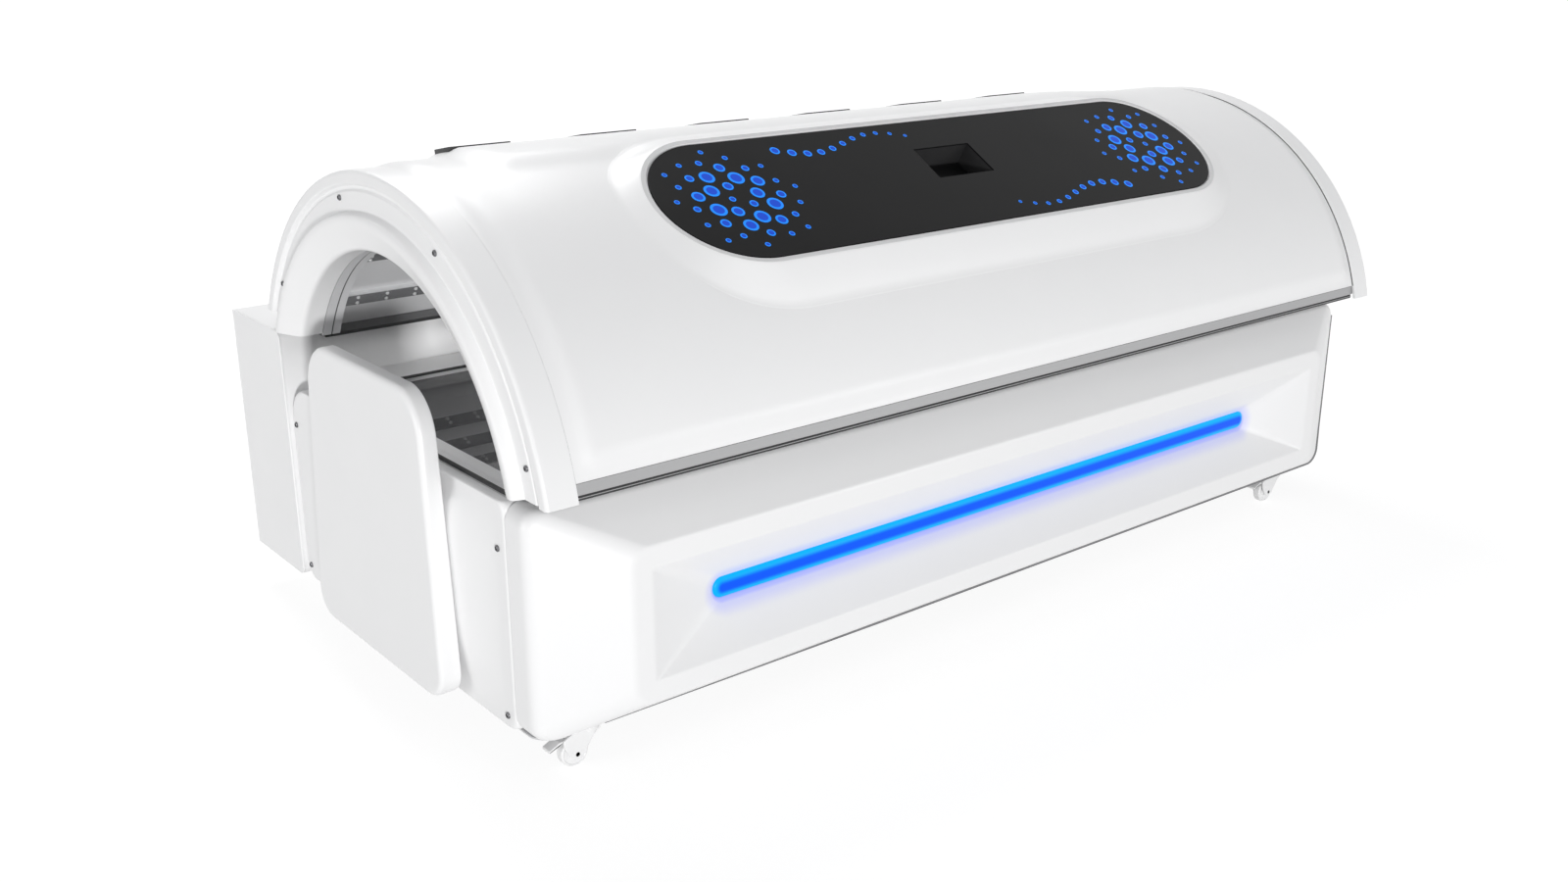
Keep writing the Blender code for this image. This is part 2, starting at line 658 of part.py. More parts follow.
def tub():
    """Rim with a ledge, the lying sheet on it, the lamp tray hung below, and the gasket on top."""
    steps = 10
    outer = (-HALF + CAP_RETURN + GAP, LIP_FRONT, HALF - CAP_RETURN - GAP, REAR - GAP, 0.004)
    opening = (-TUB_HALF_LENGTH, -TUB_HALF_WIDTH, TUB_HALF_LENGTH, TUB_HALF_WIDTH, TUB_CORNER)
    seat = RUN + GAP

    def flat(rect, z):
        return [(x, y, z) for x, y in side_points(*rect, steps)]

    def draped(rect, drop):
        inner = TUB_HALF_WIDTH
        return [(x, y, tub_height(min(max(y, -inner), inner)) - drop) for x, y in side_points(*rect, steps)]

    rim = loft([
        flat(outer, RIM_TOP - RIM_SKIRT),
        flat(outer, RIM_TOP),
        flat(opening, RIM_TOP),
        draped(opening, seat),
        draped(inset(opening, LEDGE), seat),
        draped(inset(opening, LEDGE), seat + SKIN),
        draped(inset(opening, -SKIN), seat + SKIN),
        flat(inset(opening, -SKIN), RIM_TOP - SKIN),
        flat(inset(outer, SKIN), RIM_TOP - SKIN),
        flat(inset(outer, SKIN), RIM_TOP - RIM_SKIRT),
    ], ring=True)
    add_solid("bed_rim", rim, WHITE_BASE)

    half = TUB_HALF_WIDTH - RUN
    across = [-half + 2 * half * k / steps for k in range(steps + 1)]
    sheet = [(y, tub_height(y)) for y in across]
    sheet += [(y, tub_height(y) + SHEET_THICK) for y in reversed(across)]
    reach = TUB_HALF_LENGTH - RUN
    add_solid("bed_clear_sheet", prism_x(sheet, -reach, reach), SMOKED)

    wall = TUB_HALF_WIDTH + SKIN + TRAY_MARGIN
    top = RIM_TOP - SKIN - GAP
    outer_side = [(-wall, top)] + [(y, tub_height(y) - LAMP_DROP) for y in across] + [(wall, top)]
    inner_side = [(wall - TRAY_SHEET, top)]
    inner_side += [(y, tub_height(y) - LAMP_DROP + TRAY_SHEET) for y in reversed(across)]
    inner_side += [(-wall + TRAY_SHEET, top)]
    tray_reach = TUB_HALF_LENGTH - LEDGE - TRAY_MARGIN
    add_solid("bed_lamp_tray", prism_x(outer_side + inner_side, -tray_reach, tray_reach), REFLECTOR)

    seal_front = FRONT + LID_ROUND + TRAY_MARGIN
    seal = (-HALF + SEAL_INSET, seal_front, HALF - SEAL_INSET, SEAL_REAR, SEAL_CORNER)
    low = RIM_TOP + GAP

    def strip(rect, z):
        return [(x, y, z) for x, y in rounded(*rect)]

    inner = inset(seal, SEAL_WIDE)
    gasket = loft([strip(seal, low), strip(seal, low + SEAL_TALL),
                   strip(inner, low + SEAL_TALL), strip(inner, low)], ring=True)
    add_solid("rim_gasket", gasket, RUBBER)


def canopy_rest():
    """Rubber strip along the fascia that the closed canopy's front rail comes down on."""
    strip = rounded(-REST_HALF, REST_FRONT, REST_HALF, REST_FRONT + REST_DEEP, REST_DEEP / 5, 2)
    add_solid("canopy_rest_strip", prism_z(strip, RIM_TOP + GAP, FOOT_FRONT - GAP), RUBBER)


def hinge_box():
    """Long housing behind the bed: open at the back under a flat cover, slotted on top for the arms."""
    half = BOX_LENGTH / 2
    shell = (-half, PAN_BOTTOM, half, BOX_TOP, BOX_CORNER)

    def loop(rect, y):
        return [(x, y, z) for x, z in rounded(*rect)]

    layers = [loop(inset(shell, BOX_ROUND), BOX_FRONT + BOX_WALL),
              loop(inset(shell, BOX_WALL), BOX_FRONT + BOX_ROUND),
              loop(inset(shell, BOX_WALL), BOX_BACK),
              loop(shell, BOX_BACK)]
    for k in range(4):
        turn = math.radians(30 * k)
        layers.append(loop(inset(shell, BOX_ROUND * (1 - math.cos(turn))),
                           BOX_FRONT + BOX_ROUND * (1 - math.sin(turn))))
    box = add_solid("hinge_box", loft(layers), WHITE_BASE)
    width = ARM_THICK / 2 + SLOT_CLEAR
    for side, label in ((-1, "near"), (1, "far")):
        x = side * HINGE_X
        opening = rectangle(x - width, BOX_FRONT + BOX_WALL + SLOT_CLEAR,
                            x + width, HINGE_Y + WEB_BEHIND - BOX_WALL)
        tool = add_solid("arm_slot_" + label, prism_z(opening, BOX_TOP - 3 * BOX_WALL, BOX_TOP + BOX_WALL))
        combine(box, tool)

    back = BOX_BACK + GAP
    cover = add_solid("rear_cover", loft([loop(shell, back), loop(shell, back + COVER_THICK)]), WHITE_BASE)
    for side, label in ((-1, "near"), (1, "far")):
        us = [side * VENT_X + VENT_SLOT_PITCH * (k - (VENT_SLOTS - 1) / 2) for k in range(VENT_SLOTS)]
        for k, u in enumerate(us):
            slot = rounded(u - VENT_SLOT_WIDE / 2, VENT_Z - VENT_SLOT_TALL / 2, u + VENT_SLOT_WIDE / 2,
                           VENT_Z + VENT_SLOT_TALL / 2, VENT_SLOT_WIDE / 2 - GAP, 1)
            tool = prism_y(slot, back - COVER_THICK, back + 2 * COVER_THICK)
            combine(cover, add_solid(f"cover_slot_{label}_{k}", tool))

    place = (INLET_X - INLET_WIDE / 2, INLET_Z - INLET_TALL / 2,
             INLET_X + INLET_WIDE / 2, INLET_Z + INLET_TALL / 2, INLET_WALL)
    tool = prism_y(rounded(*inset(place, -GAP), 3), back - COVER_THICK, back + 2 * COVER_THICK)
    combine(cover, add_solid("inlet_cutout", tool))

    def socket_loop(amount, y):
        return [(x, y, z) for x, z in rounded(*inset(place, amount), 3)]

    face = back + COVER_THICK - GAP
    socket = loft([socket_loop(0.0, face - INLET_DEEP), socket_loop(0.0, face),
                   socket_loop(INLET_WALL, face), socket_loop(INLET_WALL, face - INLET_DEEP + INLET_WALL)])
    add_solid("power_inlet", socket, BLACK_MATT)


def hinge_and_strut(side, label):
    """Hanging bracket, cranked arm on its trunnion, and the gas strut that lifts the arm's lever."""
    x = side * HINGE_X
    pivot = (x, HINGE_Y, HINGE_Z)
    inner = ARM_THICK / 2 + CHEEK_CLEAR
    outer = inner + CHEEK
    web = HINGE_Y + WEB_BEHIND
    front = HINGE_Y - CHEEK_HALF
    plan = [(x - outer, front), (x - inner, front), (x - inner, web), (x + inner, web),
            (x + inner, front), (x + outer, front), (x + outer, web + CHEEK), (x - outer, web + CHEEK)]
    bracket = add_solid("hinge_bracket_" + label,
                        prism_z(plan, HINGE_Z - BRACKET_DROP, BOX_TOP - BOX_WALL - GAP), STEEL)
    bore = add_solid("bracket_bore_" + label,
                     turned([(PIN_RADIUS + RUN, -2 * outer), (PIN_RADIUS + RUN, 2 * outer)], pivot, "X"))
    combine(bracket, bore)

    tilt = math.radians(180 + LEVER_DEG)
    stud_y = HINGE_Y + LEVER * math.cos(tilt)
    stud_z = HINGE_Z + LEVER * math.sin(tilt)
    pad_top = FOOT_REAR_OUTER - RAIL_THICK / 2 - GAP
    pad_low = BOX_TOP + SLOT_CLEAR * 4
    outline = [(ARM_PAD_REAR, pad_top), (ARM_PAD_FRONT, pad_top), (ARM_PAD_FRONT, pad_low)]
    outline += arc(stud_y, stud_z, LEVER_END, 125, 305, 8)
    outline += arc(HINGE_Y, HINGE_Z, ARM_EYE, 275, 405, 6)
    arm = add_solid("hinge_arm_" + label,
                    prism_x(outline, x - ARM_THICK / 2, x + ARM_THICK / 2), STEEL, pivot)
    stud = add_solid("arm_stud_" + label,
                     turned([(STUD_RADIUS, 0.0), (STUD_RADIUS, side * (ARM_THICK / 2 + STUD_LONG))],
                            (x, stud_y, stud_z), "X", 12))
    combine(arm, stud, "UNION")
    trunnion = outer + PIN_PROUD
    combine(arm, add_solid("arm_trunnion_" + label,
                           turned([(PIN_RADIUS, -trunnion), (PIN_RADIUS, trunnion)], pivot, "X")), "UNION")

    strut_x = x + side * (ARM_THICK / 2 + STUD_LONG / 2 + RUN)
    strut_y = (stud_y + HINGE_Y - LEVER) / 2
    base = (strut_x, strut_y, 0.0)
    bottom = PAN_BOTTOM + BOX_WALL + GAP
    bore_radius = ROD_RADIUS + RUN
    barrel = turned([(BARREL_RADIUS, bottom), (BARREL_RADIUS, BARREL_TOP), (bore_radius, BARREL_TOP),
                     (bore_radius, BARREL_FLOOR)], base, "Z")
    add_solid("strut_barrel_" + label, barrel, BLACK_MATT)

    eye_inner = STUD_RADIUS + EYE_CLEAR
    eye_outer = eye_inner + EYE_WALL
    rod_ends = [(ROD_RADIUS, ROD_LOW), (ROD_RADIUS, stud_z - eye_inner - EYE_WALL / 2)]
    rod = add_solid("strut_rod_" + label, turned(rod_ends, base, "Z", 12), CHROME,
                    (strut_x, strut_y, stud_z))
    rings = [(eye_outer, -EYE_THICK / 2), (eye_outer, EYE_THICK / 2),
             (eye_inner, EYE_THICK / 2), (eye_inner, -EYE_THICK / 2)]
    loops = [[(strut_x + along, strut_y + a, stud_z + b) for a, b in circle(0.0, 0.0, radius)]
             for radius, along in rings]
    ring = add_solid("rod_eye_" + label, loft(loops, ring=True))
    combine(rod, ring, "UNION")


PIVOT = (0.0, HINGE_Y, HINGE_Z)


def shell_radius(x, turn):
    """Outer radius of the shell: low border, field, crest on it, and the boss cut off flat for the panel."""
    to_front = FIELD_RADIUS * (front_turn(BORDER_RADIUS - SHELL_WALL, SHELL_LOW_FRONT) - turn)
    to_end = SHELL_HALF - abs(x)
    field = ease((to_end - BORDER_FLAT) / BORDER_RISE) * ease((to_front - BORDER_FLAT) / BORDER_RISE)
    deg = math.degrees(turn)
    crest = ease((CREST_NEAR + x) / CREST_NEAR_RAMP) * ease((CREST_FAR - x) / CREST_FAR_RAMP)
    crest *= 1.0 - ease((CREST_REAR_DEG - deg) / CREST_FLANK_REAR_DEG)
    crest *= 1.0 - ease((deg - CREST_FRONT_DEG) / CREST_FLANK_FRONT_DEG)
    base = BORDER_RADIUS + (FIELD_RADIUS - BORDER_RADIUS) * field + (CREST_RADIUS - FIELD_RADIUS) * crest
    quarter = math.pi / 4
    v = BOSS_PLANE * math.tan(min(max(turn - PANEL_TURN, -quarter), quarter)) - PANEL_MID_V
    along = max(abs(x) - (PANEL_HALF - PANEL_WIDE_HALF), 0.0)
    outside = (math.hypot(along, v) - BOSS_REACH) / BOSS_FLANK
    boss = (1.0 - min(max(outside, 0.0), 1.0)) ** 2
    flat = math.hypot(BOSS_PLANE, PANEL_MID_V + min(max(v, -BOSS_REACH), BOSS_REACH))
    return base + (flat - base) * boss


def canopy_shell():
    """Half-round moulded cover with the flat boss, the long crest and a soft border at its edges."""
    straight = PANEL_HALF - PANEL_WIDE_HALF
    border = SHELL_HALF - BORDER_FLAT - BORDER_RISE
    ends = spread([straight, straight + BOSS_REACH, straight + BOSS_REACH + BOSS_FLANK], [5, 4])
    ends += spread([border, SHELL_HALF], [4])
    ramps = spread([-CREST_NEAR, CREST_NEAR_RAMP - CREST_NEAR], [3])
    ramps += spread([CREST_FAR - CREST_FAR_RAMP, CREST_FAR], [4])
    xs = merged([-x for x in ends] + ends + ramps, 2 * SHELL_WALL)
    xs[-1] = SHELL_HALF
    front = math.degrees(front_turn(BORDER_RADIUS - SHELL_WALL, SHELL_LOW_FRONT))
    rear = math.degrees(rear_turn(BORDER_RADIUS - SHELL_WALL, SHELL_LOW_REAR))
    boss_top = PANEL_DEG + math.degrees(math.atan((PANEL_MID_V - BOSS_REACH) / BOSS_PLANE))
    boss_low = PANEL_DEG + math.degrees(math.atan((PANEL_MID_V + BOSS_REACH) / BOSS_PLANE))
    boss_foot = PANEL_DEG + math.degrees(math.atan((PANEL_MID_V + BOSS_REACH + BOSS_FLANK) / BOSS_PLANE))
    rise = math.degrees((BORDER_FLAT + BORDER_RISE) / FIELD_RADIUS)
    degs = spread([rear, CREST_REAR_DEG - CREST_FLANK_REAR_DEG, CREST_REAR_DEG, CREST_FRONT_DEG], [5, 2, 4])
    degs += spread([CREST_FRONT_DEG + CREST_FLANK_FRONT_DEG / 2, boss_top, boss_low, boss_foot], [1, 8, 4])
    degs += spread([boss_foot, front - rise, front], [2, 4])
    degs = merged(degs, 0.5)
    degs[-1] = front
    loops = []
    for x in xs:
        outer = [on_canopy(x, shell_radius(x, math.radians(d)), math.radians(d)) for d in degs]
        inner = [on_canopy(x, shell_radius(x, math.radians(d)) - SHELL_WALL, math.radians(d)) for d in degs]
        loops.append(outer + inner[::-1])
    points, faces = loft(loops)
    del faces[-2:]
    count = len(loops[0])
    last = len(points) - count
    for i in range(len(degs) - 1):
        faces.append((i, i + 1, count - 2 - i, count - 1 - i))
        faces.append((last + i, last + i + 1, last + count - 2 - i, last + count - 1 - i))
    shell = add_solid("canopy_shell", (points, faces), WHITE, PIVOT)

    crest = canopy_frame(math.radians(VENT_DEG))
    for k in range(VENT_COUNT):
        x = VENT_FIRST_X + VENT_PITCH * k
        long_half = VENT_LONG / 2 + GAP
        wide_half = VENT_WIDE / 2 + GAP
        low = FIELD_RADIUS - 4 * SHELL_WALL
        plan = rectangle(x - long_half, -wide_half, x + long_half, wide_half)
        opening = [[crest(u, v, w) for u, v in plan] for w in (low, CREST_RADIUS + SHELL_WALL)]
        combine(shell, add_solid(f"vent_opening_{k + 1}", loft(opening)))

    slope = canopy_frame(PANEL_TURN)
    long_half = SCREEN_HALF_X + POCKET_WALL + 2 * GAP
    wide_half = SCREEN_HALF_T + POCKET_WALL + 2 * GAP
    plan = rectangle(-long_half, SCREEN_MID_V - wide_half, long_half, SCREEN_MID_V + wide_half)
    opening = [[slope(u, v, w) for u, v in plan]
               for w in (BOSS_PLANE - 6 * SHELL_WALL, BOSS_PLANE + SHELL_WALL)]
    combine(shell, add_solid("pocket_opening", loft(opening)))


def end_ring(side, label):
    """Moulded arch at an open end: outer band, screw face, funnel-shaped inner roll and bore."""
    face = RING_FACE
    profile = [
        (BAND_RADIUS, RING_INSIDE), (BAND_RADIUS, face - 0.010), (BAND_RADIUS - 0.003, face - 0.003),
        (BAND_RADIUS - 0.010, face), (BAND_RADIUS - 0.020, face), (BAND_RADIUS - 0.025, face - 0.008),
        (BAND_RADIUS - 0.031, face - 0.008), (BAND_RADIUS - 0.034, face - 0.004),
        (RING_STEP + 0.006, face - 0.004), (RING_STEP, RING_CREST - 0.009),
        (RING_STEP - 0.004, RING_CREST - 0.002), (RING_STEP - 0.012, RING_CREST),
        (RING_STEP - 0.020, RING_CREST - 0.002), (RING_BORE + 0.008, face - 0.004),
        (RING_BORE + 0.002, face - 0.008), (RING_BORE, face - 0.013), (RING_BORE, RING_INSIDE + RING_WALL),
    ]
    profile += [
        (RING_BORE + RING_WALL, RING_INSIDE + RING_WALL), (RING_BORE + RING_WALL, face - 0.013),
        (RING_STEP - 0.012, RING_CREST - 0.012), (RING_STEP + RING_WALL / 2, face - 0.014),
        (BAND_RADIUS - RING_WALL, face - 0.015), (BAND_RADIUS - RING_WALL, RING_INSIDE),
    ]
    steps = 26
    loops = []
    for k in range(steps + 1):
        loop = []
        for radius, out in profile:
            drop = FOOT_REAR_INNER if radius <= RING_STEP else FOOT_REAR_OUTER
            start = rear_turn(radius, drop)
            end = front_turn(radius, FOOT_FRONT)
            loop.append(on_canopy(side * out, radius, start + (end - start) * k / steps))
        loops.append(loop)
    add_solid("end_ring_" + label, loft(loops), WHITE, PIVOT)


def canopy_rails():
    """Extruded rails that close the canopy's lower edges between shell and clear sheet."""
    reach = SHELL_HALF
    low = FOOT_FRONT
    outer = -math.sqrt((BORDER_RADIUS - RAIL_LIP) ** 2 - (low - AXIS_Z) ** 2)
    outer_top = SHELL_LOW_FRONT - GAP * 2
    outer_high = -math.sqrt((BORDER_RADIUS - RAIL_LIP / 2) ** 2 - (outer_top - AXIS_Z) ** 2)
    lip = -math.sqrt((CLEAR_RADIUS - CLEAR_THICK - RAIL_LIP / 2) ** 2 - (FRONT_RAIL_LIP_TOP - AXIS_Z) ** 2)
    lip_back = lip - CLEAR_THICK - 2 * RAIL_LIP
    section = [(outer, low), (lip, low), (lip, FRONT_RAIL_LIP_TOP), (lip_back, FRONT_RAIL_LIP_TOP),
               (lip_back, low + RAIL_THICK), (outer_high + RAIL_LIP, low + RAIL_THICK),
               (outer_high + RAIL_LIP, outer_top), (outer_high, outer_top)]
    add_solid("canopy_front_rail", prism_x(section, -reach, reach), ALUMINIUM, PIVOT)

    top = SHELL_LOW_REAR - GAP * 2
    shelf = FOOT_REAR_OUTER - RAIL_THICK / 2
    edge = math.sqrt(BORDER_RADIUS ** 2 - (top - AXIS_Z) ** 2)
    ledge = REAR_RAIL_LOW + RAIL_THICK * 0.75
    nose = math.sqrt((CLEAR_RADIUS - CLEAR_THICK - RAIL_LIP / 2) ** 2 - (ledge - AXIS_Z) ** 2)
    back = REAR_RAIL_BACK
    section = [(nose, REAR_RAIL_LOW), (back, REAR_RAIL_LOW), (back, shelf), (edge, shelf),
               (edge, top), (back - RAIL_LIP, top), (back - RAIL_LIP, ledge), (nose, ledge)]
    add_solid("canopy_rear_rail", prism_x(section, -reach, reach), BLACK_MATT, PIVOT)


def canopy_lining():
    """Folded reflector with its lamp strips, and the clear sheet inside it."""
    ledge = REAR_RAIL_LOW + RAIL_THICK * 0.75 + GAP
    base = LINER_RADIUS - LINER_SHEET
    start = rear_turn(base, ledge + RUN)
    end = front_turn(base, FOOT_FRONT + RAIL_THICK + RUN)
    outer = canopy_arc(LINER_RADIUS, start, end)
    inner = []
    pitch = (end - start) / STRIP_COUNT
    for k in range(STRIP_COUNT):
        middle = start + pitch * (k + 0.5)
        half = STRIP_WIDE / 2 / base
        for radius, turn in ((base, start + pitch * k + (GAP if k else 0.0)), (base, middle - half),
                             (base - STRIP_TALL, middle - half), (base - STRIP_TALL, middle + half),
                             (base, middle + half)):
            inner.append(on_canopy(0.0, radius, turn)[1:])
    inner.append(on_canopy(0.0, base, end)[1:])
    reach = SHELL_HALF - LINER_SHEET
    add_solid("canopy_lamp_liner", prism_x(outer + inner[::-1], -reach, reach), REFLECTOR, PIVOT)

    clear_start = rear_turn(CLEAR_RADIUS - CLEAR_THICK, ledge)
    clear_end = front_turn(CLEAR_RADIUS - CLEAR_THICK, FRONT_RAIL_LIP_TOP + GAP)
    sheet = canopy_arc(CLEAR_RADIUS, clear_start, clear_end)
    sheet += canopy_arc(CLEAR_RADIUS - CLEAR_THICK, clear_end, clear_start)
    reach = RING_INSIDE + RING_WALL - GAP
    add_solid("canopy_clear_sheet", prism_x(sheet, -reach, reach), SMOKED, PIVOT)


def control_panel():
    """Flat glossy oval panel on the boss, with a deep-set display above its middle."""
    slope = canopy_frame(PANEL_TURN)
    rows = 16
    loops = []
    for k in range(rows + 1):
        across = -math.cos(math.pi * k / rows)
        v = PANEL_MID_V + across * PANEL_WIDE_HALF
        half = PANEL_HALF - PANEL_WIDE_HALF + PANEL_WIDE_HALF * math.sqrt(max(1.0 - across ** 2, 0.0))
        loop = [slope(x, v, PANEL_LOW) for x in (-half, half)]
        loop += [slope(x, v, PANEL_LOW + PANEL_THICK) for x in (half, -half)]
        loops.append(loop)
    points, faces = loft(loops)
    panel = add_solid("control_panel", (points, faces), BLACK_GLOSS, PIVOT)
    plan = rectangle(-SCREEN_HALF_X, SCREEN_MID_V - SCREEN_HALF_T,
                     SCREEN_HALF_X, SCREEN_MID_V + SCREEN_HALF_T)
    window = [[slope(u, v, w) for u, v in plan]
              for w in (PANEL_LOW - PANEL_THICK, PANEL_LOW + 2 * PANEL_THICK)]
    combine(panel, add_solid("panel_window", loft(window)))

    pocket_top = PANEL_LOW - RUN
    floor = pocket_top - POCKET_DEEP

    def box_loop(grow, w):
        long_half = SCREEN_HALF_X + grow
        wide_half = SCREEN_HALF_T + grow
        plan = rectangle(-long_half, SCREEN_MID_V - wide_half, long_half, SCREEN_MID_V + wide_half)
        return [slope(u, v, w) for u, v in plan]

    pocket = loft([box_loop(POCKET_WALL, floor - POCKET_WALL), box_loop(POCKET_WALL, pocket_top),
                   box_loop(GAP, pocket_top), box_loop(GAP, floor)])
    add_solid("display_pocket", pocket, BLACK_MATT, PIVOT)
    screen = loft([box_loop(-GAP, floor + GAP), box_loop(-GAP, floor + GAP + SCREEN_THICK)])
    add_solid("display_screen", screen, BLACK_GLOSS, PIVOT)


def vents_and_fans():
    """Slatted outlet grilles along the crest, and the fan channel with its rotors under them."""
    crest = canopy_frame(math.radians(VENT_DEG))
    top = CREST_RADIUS + VENT_PROUD
    places = [VENT_FIRST_X + VENT_PITCH * k for k in range(VENT_COUNT)]
    slot_tall = (VENT_WIDE - GRILLE_BAR * (GRILLE_ROWS + 1)) / GRILLE_ROWS
    half = VENT_LONG / 2
    vs = [-VENT_WIDE / 2]
    for row in range(GRILLE_ROWS):
        vs += [vs[-1] + GRILLE_BAR, vs[-1] + GRILLE_BAR + slot_tall]
    vs.append(VENT_WIDE / 2)
    holes = {(i, 2 * row + 1) for i in (1, 3) for row in range(GRILLE_ROWS)}
    for k, x in enumerate(places):
        us = [x - half, x - half + GRILLE_BAR, x - GRILLE_BAR / 2,
              x + GRILLE_BAR / 2, x + half - GRILLE_BAR, x + half]
        grille = lattice(us, vs, holes, top - VENT_DEEP, top, crest)
        add_solid(f"vent_grille_{k + 1}", grille, BLACK_MATT, PIVOT)

    web = TRAY_RADIUS
    foot = math.sqrt(LINER_RADIUS ** 2 - TRAY_HALF ** 2) + RUN
    sheet = TRAY_SHEET
    wide = TRAY_HALF
    section = [(-wide, foot), (-wide, web + sheet), (wide, web + sheet), (wide, foot),
               (wide - sheet, foot), (wide - sheet, web), (-wide + sheet, web), (-wide + sheet, foot)]
    ends = (places[0] - FAN_RADIUS - FAN_END, places[-1] + FAN_RADIUS + FAN_END)
    folded = loft([[crest(u, v, w) for v, w in section] for u in ends])
    channel = add_solid("fan_channel", folded, STEEL, PIVOT)
    opening = FAN_RADIUS + FAN_BORE_CLEAR
    for k, x in enumerate(places):
        for way in (-1, 1):
            start = math.degrees(math.asin(SPOKE_WIDE / 2 / opening))
            rim = arc(0.0, 0.0, opening, start, 180 - start, 7)
            lean = math.degrees(math.asin(SPOKE_WIDE / 2 / FAN_HUB))
            hub = arc(0.0, 0.0, FAN_HUB, 180 - lean, lean, 4)
            shape = [(x + a, way * b) for a, b in rim + hub]
            tool = [[crest(u, v, w) for u, v in shape] for w in (web - 2 * sheet, web + 3 * sheet)]
            combine(channel, add_solid(f"fan_port_{k + 1}_{'ab'[way > 0]}", loft(tool)))

    low = web + sheet + RUN
    for k, x in enumerate(places):
        loops = []
        for level in range(3):
            twist = math.radians(FAN_TWIST_DEG) * level / 2
            loop = []
            for blade in range(FAN_BLADES):
                root = 2 * math.pi * blade / FAN_BLADES + twist
                step = 2 * math.pi / FAN_BLADES
                for radius, share in ((FAN_HUB, 0.0), (FAN_RADIUS, 0.10),
                                      (FAN_RADIUS, 0.42), (FAN_HUB, 0.40)):
                    turn = root + step * share
                    loop.append(crest(x + radius * math.cos(turn), radius * math.sin(turn),
                                      low + FAN_TALL * level / 2))
            loops.append(loop)
        add_solid(f"fan_rotor_{k + 1}", loft(loops), BLACK_MATT, crest(x, 0.0, low))


def caster(x, y, label, braked):
    """Swivel fork, wheel on its axle and, on a braked caster, a tread pedal."""
    size = WHEEL_RADIUS
    axle_x = x - CASTER_TRAIL
    axle = (axle_x, y, size)
    crown = 2 * size + 4 * RUN
    neck = x + 0.8 * KING_RADIUS
    hood = [(neck, CROWN_TOP), (axle_x - 0.08 * size, CROWN_TOP),
            (axle_x - 0.96 * size, 2.24 * size), (axle_x - 0.96 * size, 1.72 * size),
            (axle_x - 0.36 * size, 0.66 * size), (axle_x + 0.36 * size, 0.66 * size),
            (x + 0.16 * size, 2.00 * size), (neck, 2.32 * size)]
    fork = add_solid("caster_fork_" + label, prism_y(hood, y - FORK_HALF, y + FORK_HALF),
                     CASTER_WHITE, (x, y, 0.0))
    king = turned([(KING_RADIUS, CROWN_TOP - 0.006), (KING_RADIUS, PAN_BOTTOM - GAP)], (x, y, 0.0), "Z")
    combine(fork, add_solid("king_disc_" + label, king), "UNION")
    inner = FORK_HALF - FORK_CHEEK
    tail = x + PEDAL_PIVOT_X - 1.2 * PEDAL_LONG
    fore = x + 1.5 * KING_RADIUS
    tread = crown + 0.24 * size
    throat = [(tail, -size), (fore, -size), (fore, crown), (axle_x - 0.48 * size, crown),
              (axle_x - 0.68 * size, tread), (tail, tread)]
    combine(fork, add_solid("fork_throat_" + label, prism_y(throat, y - inner, y + inner)))
    bore = [(AXLE_RADIUS + RUN, -2 * FORK_HALF), (AXLE_RADIUS + RUN, 2 * FORK_HALF)]
    combine(fork, add_solid("axle_bore_" + label, turned(bore, axle, "Y", 10)))

    flat = math.cos(math.pi / WHEEL_SIDES)
    half = WHEEL_WIDE / 2
    dish = half - 0.08 * size
    side = [(AXLE_RADIUS, FORK_HALF), (AXLE_RADIUS, half + 2 * RUN), (size * 0.42, half + 2 * RUN),
            (size * 0.46, dish), (size * 0.82, dish), (size * 0.90, half), (size / flat, dish)]
    profile = [(r, -a) for r, a in side] + [(r, a) for r, a in reversed(side)]
    wheel = turned(profile, axle, "Y", WHEEL_SIDES, 180.0 / WHEEL_SIDES - 90.0)
    add_solid("caster_wheel_" + label, wheel, CASTER_WHITE, axle)

    if braked:
        pivot_x = x + PEDAL_PIVOT_X
        level = PEDAL_PIVOT_Z
        lever = [(pivot_x + 0.002, level - 0.002), (pivot_x + 0.002, level + 0.004),
                 (pivot_x - PEDAL_LONG / 3, level + 0.003), (pivot_x - PEDAL_LONG, level - 0.006),
                 (pivot_x - PEDAL_LONG, level - 0.0105), (pivot_x - 0.4 * PEDAL_LONG, level - 0.003)]
        pedal = prism_y(lever, y - inner + GAP, y + inner - GAP)
        add_solid("caster_pedal_" + label, pedal, CASTER_WHITE, (pivot_x, y, level))


floor_pan()
ladder_frame()
front_fascia()
tub()
canopy_rest()
hinge_box()
canopy_shell()
canopy_rails()
canopy_lining()
control_panel()
vents_and_fans()
for END, LABEL in ((-1, "near"), (1, "far")):
    end_cap_and_shield(END, LABEL)
    end_ring(END, LABEL)
    hinge_and_strut(END, LABEL)
    caster(END * CASTER_X, CASTER_FRONT, "front_" + LABEL, True)
    caster(END * CASTER_X, CASTER_REAR, "rear_" + LABEL, False)
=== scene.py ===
"""Red light therapy bed: looks of the lamp-lined tub, its half-round canopy and its fittings.

Metres, +Z up, +X along the bed, the open front towards -Y. Pieces are worked out about the bed's own
centre line, and each skin is set off to where the solids have that line.
"""
import json
import math

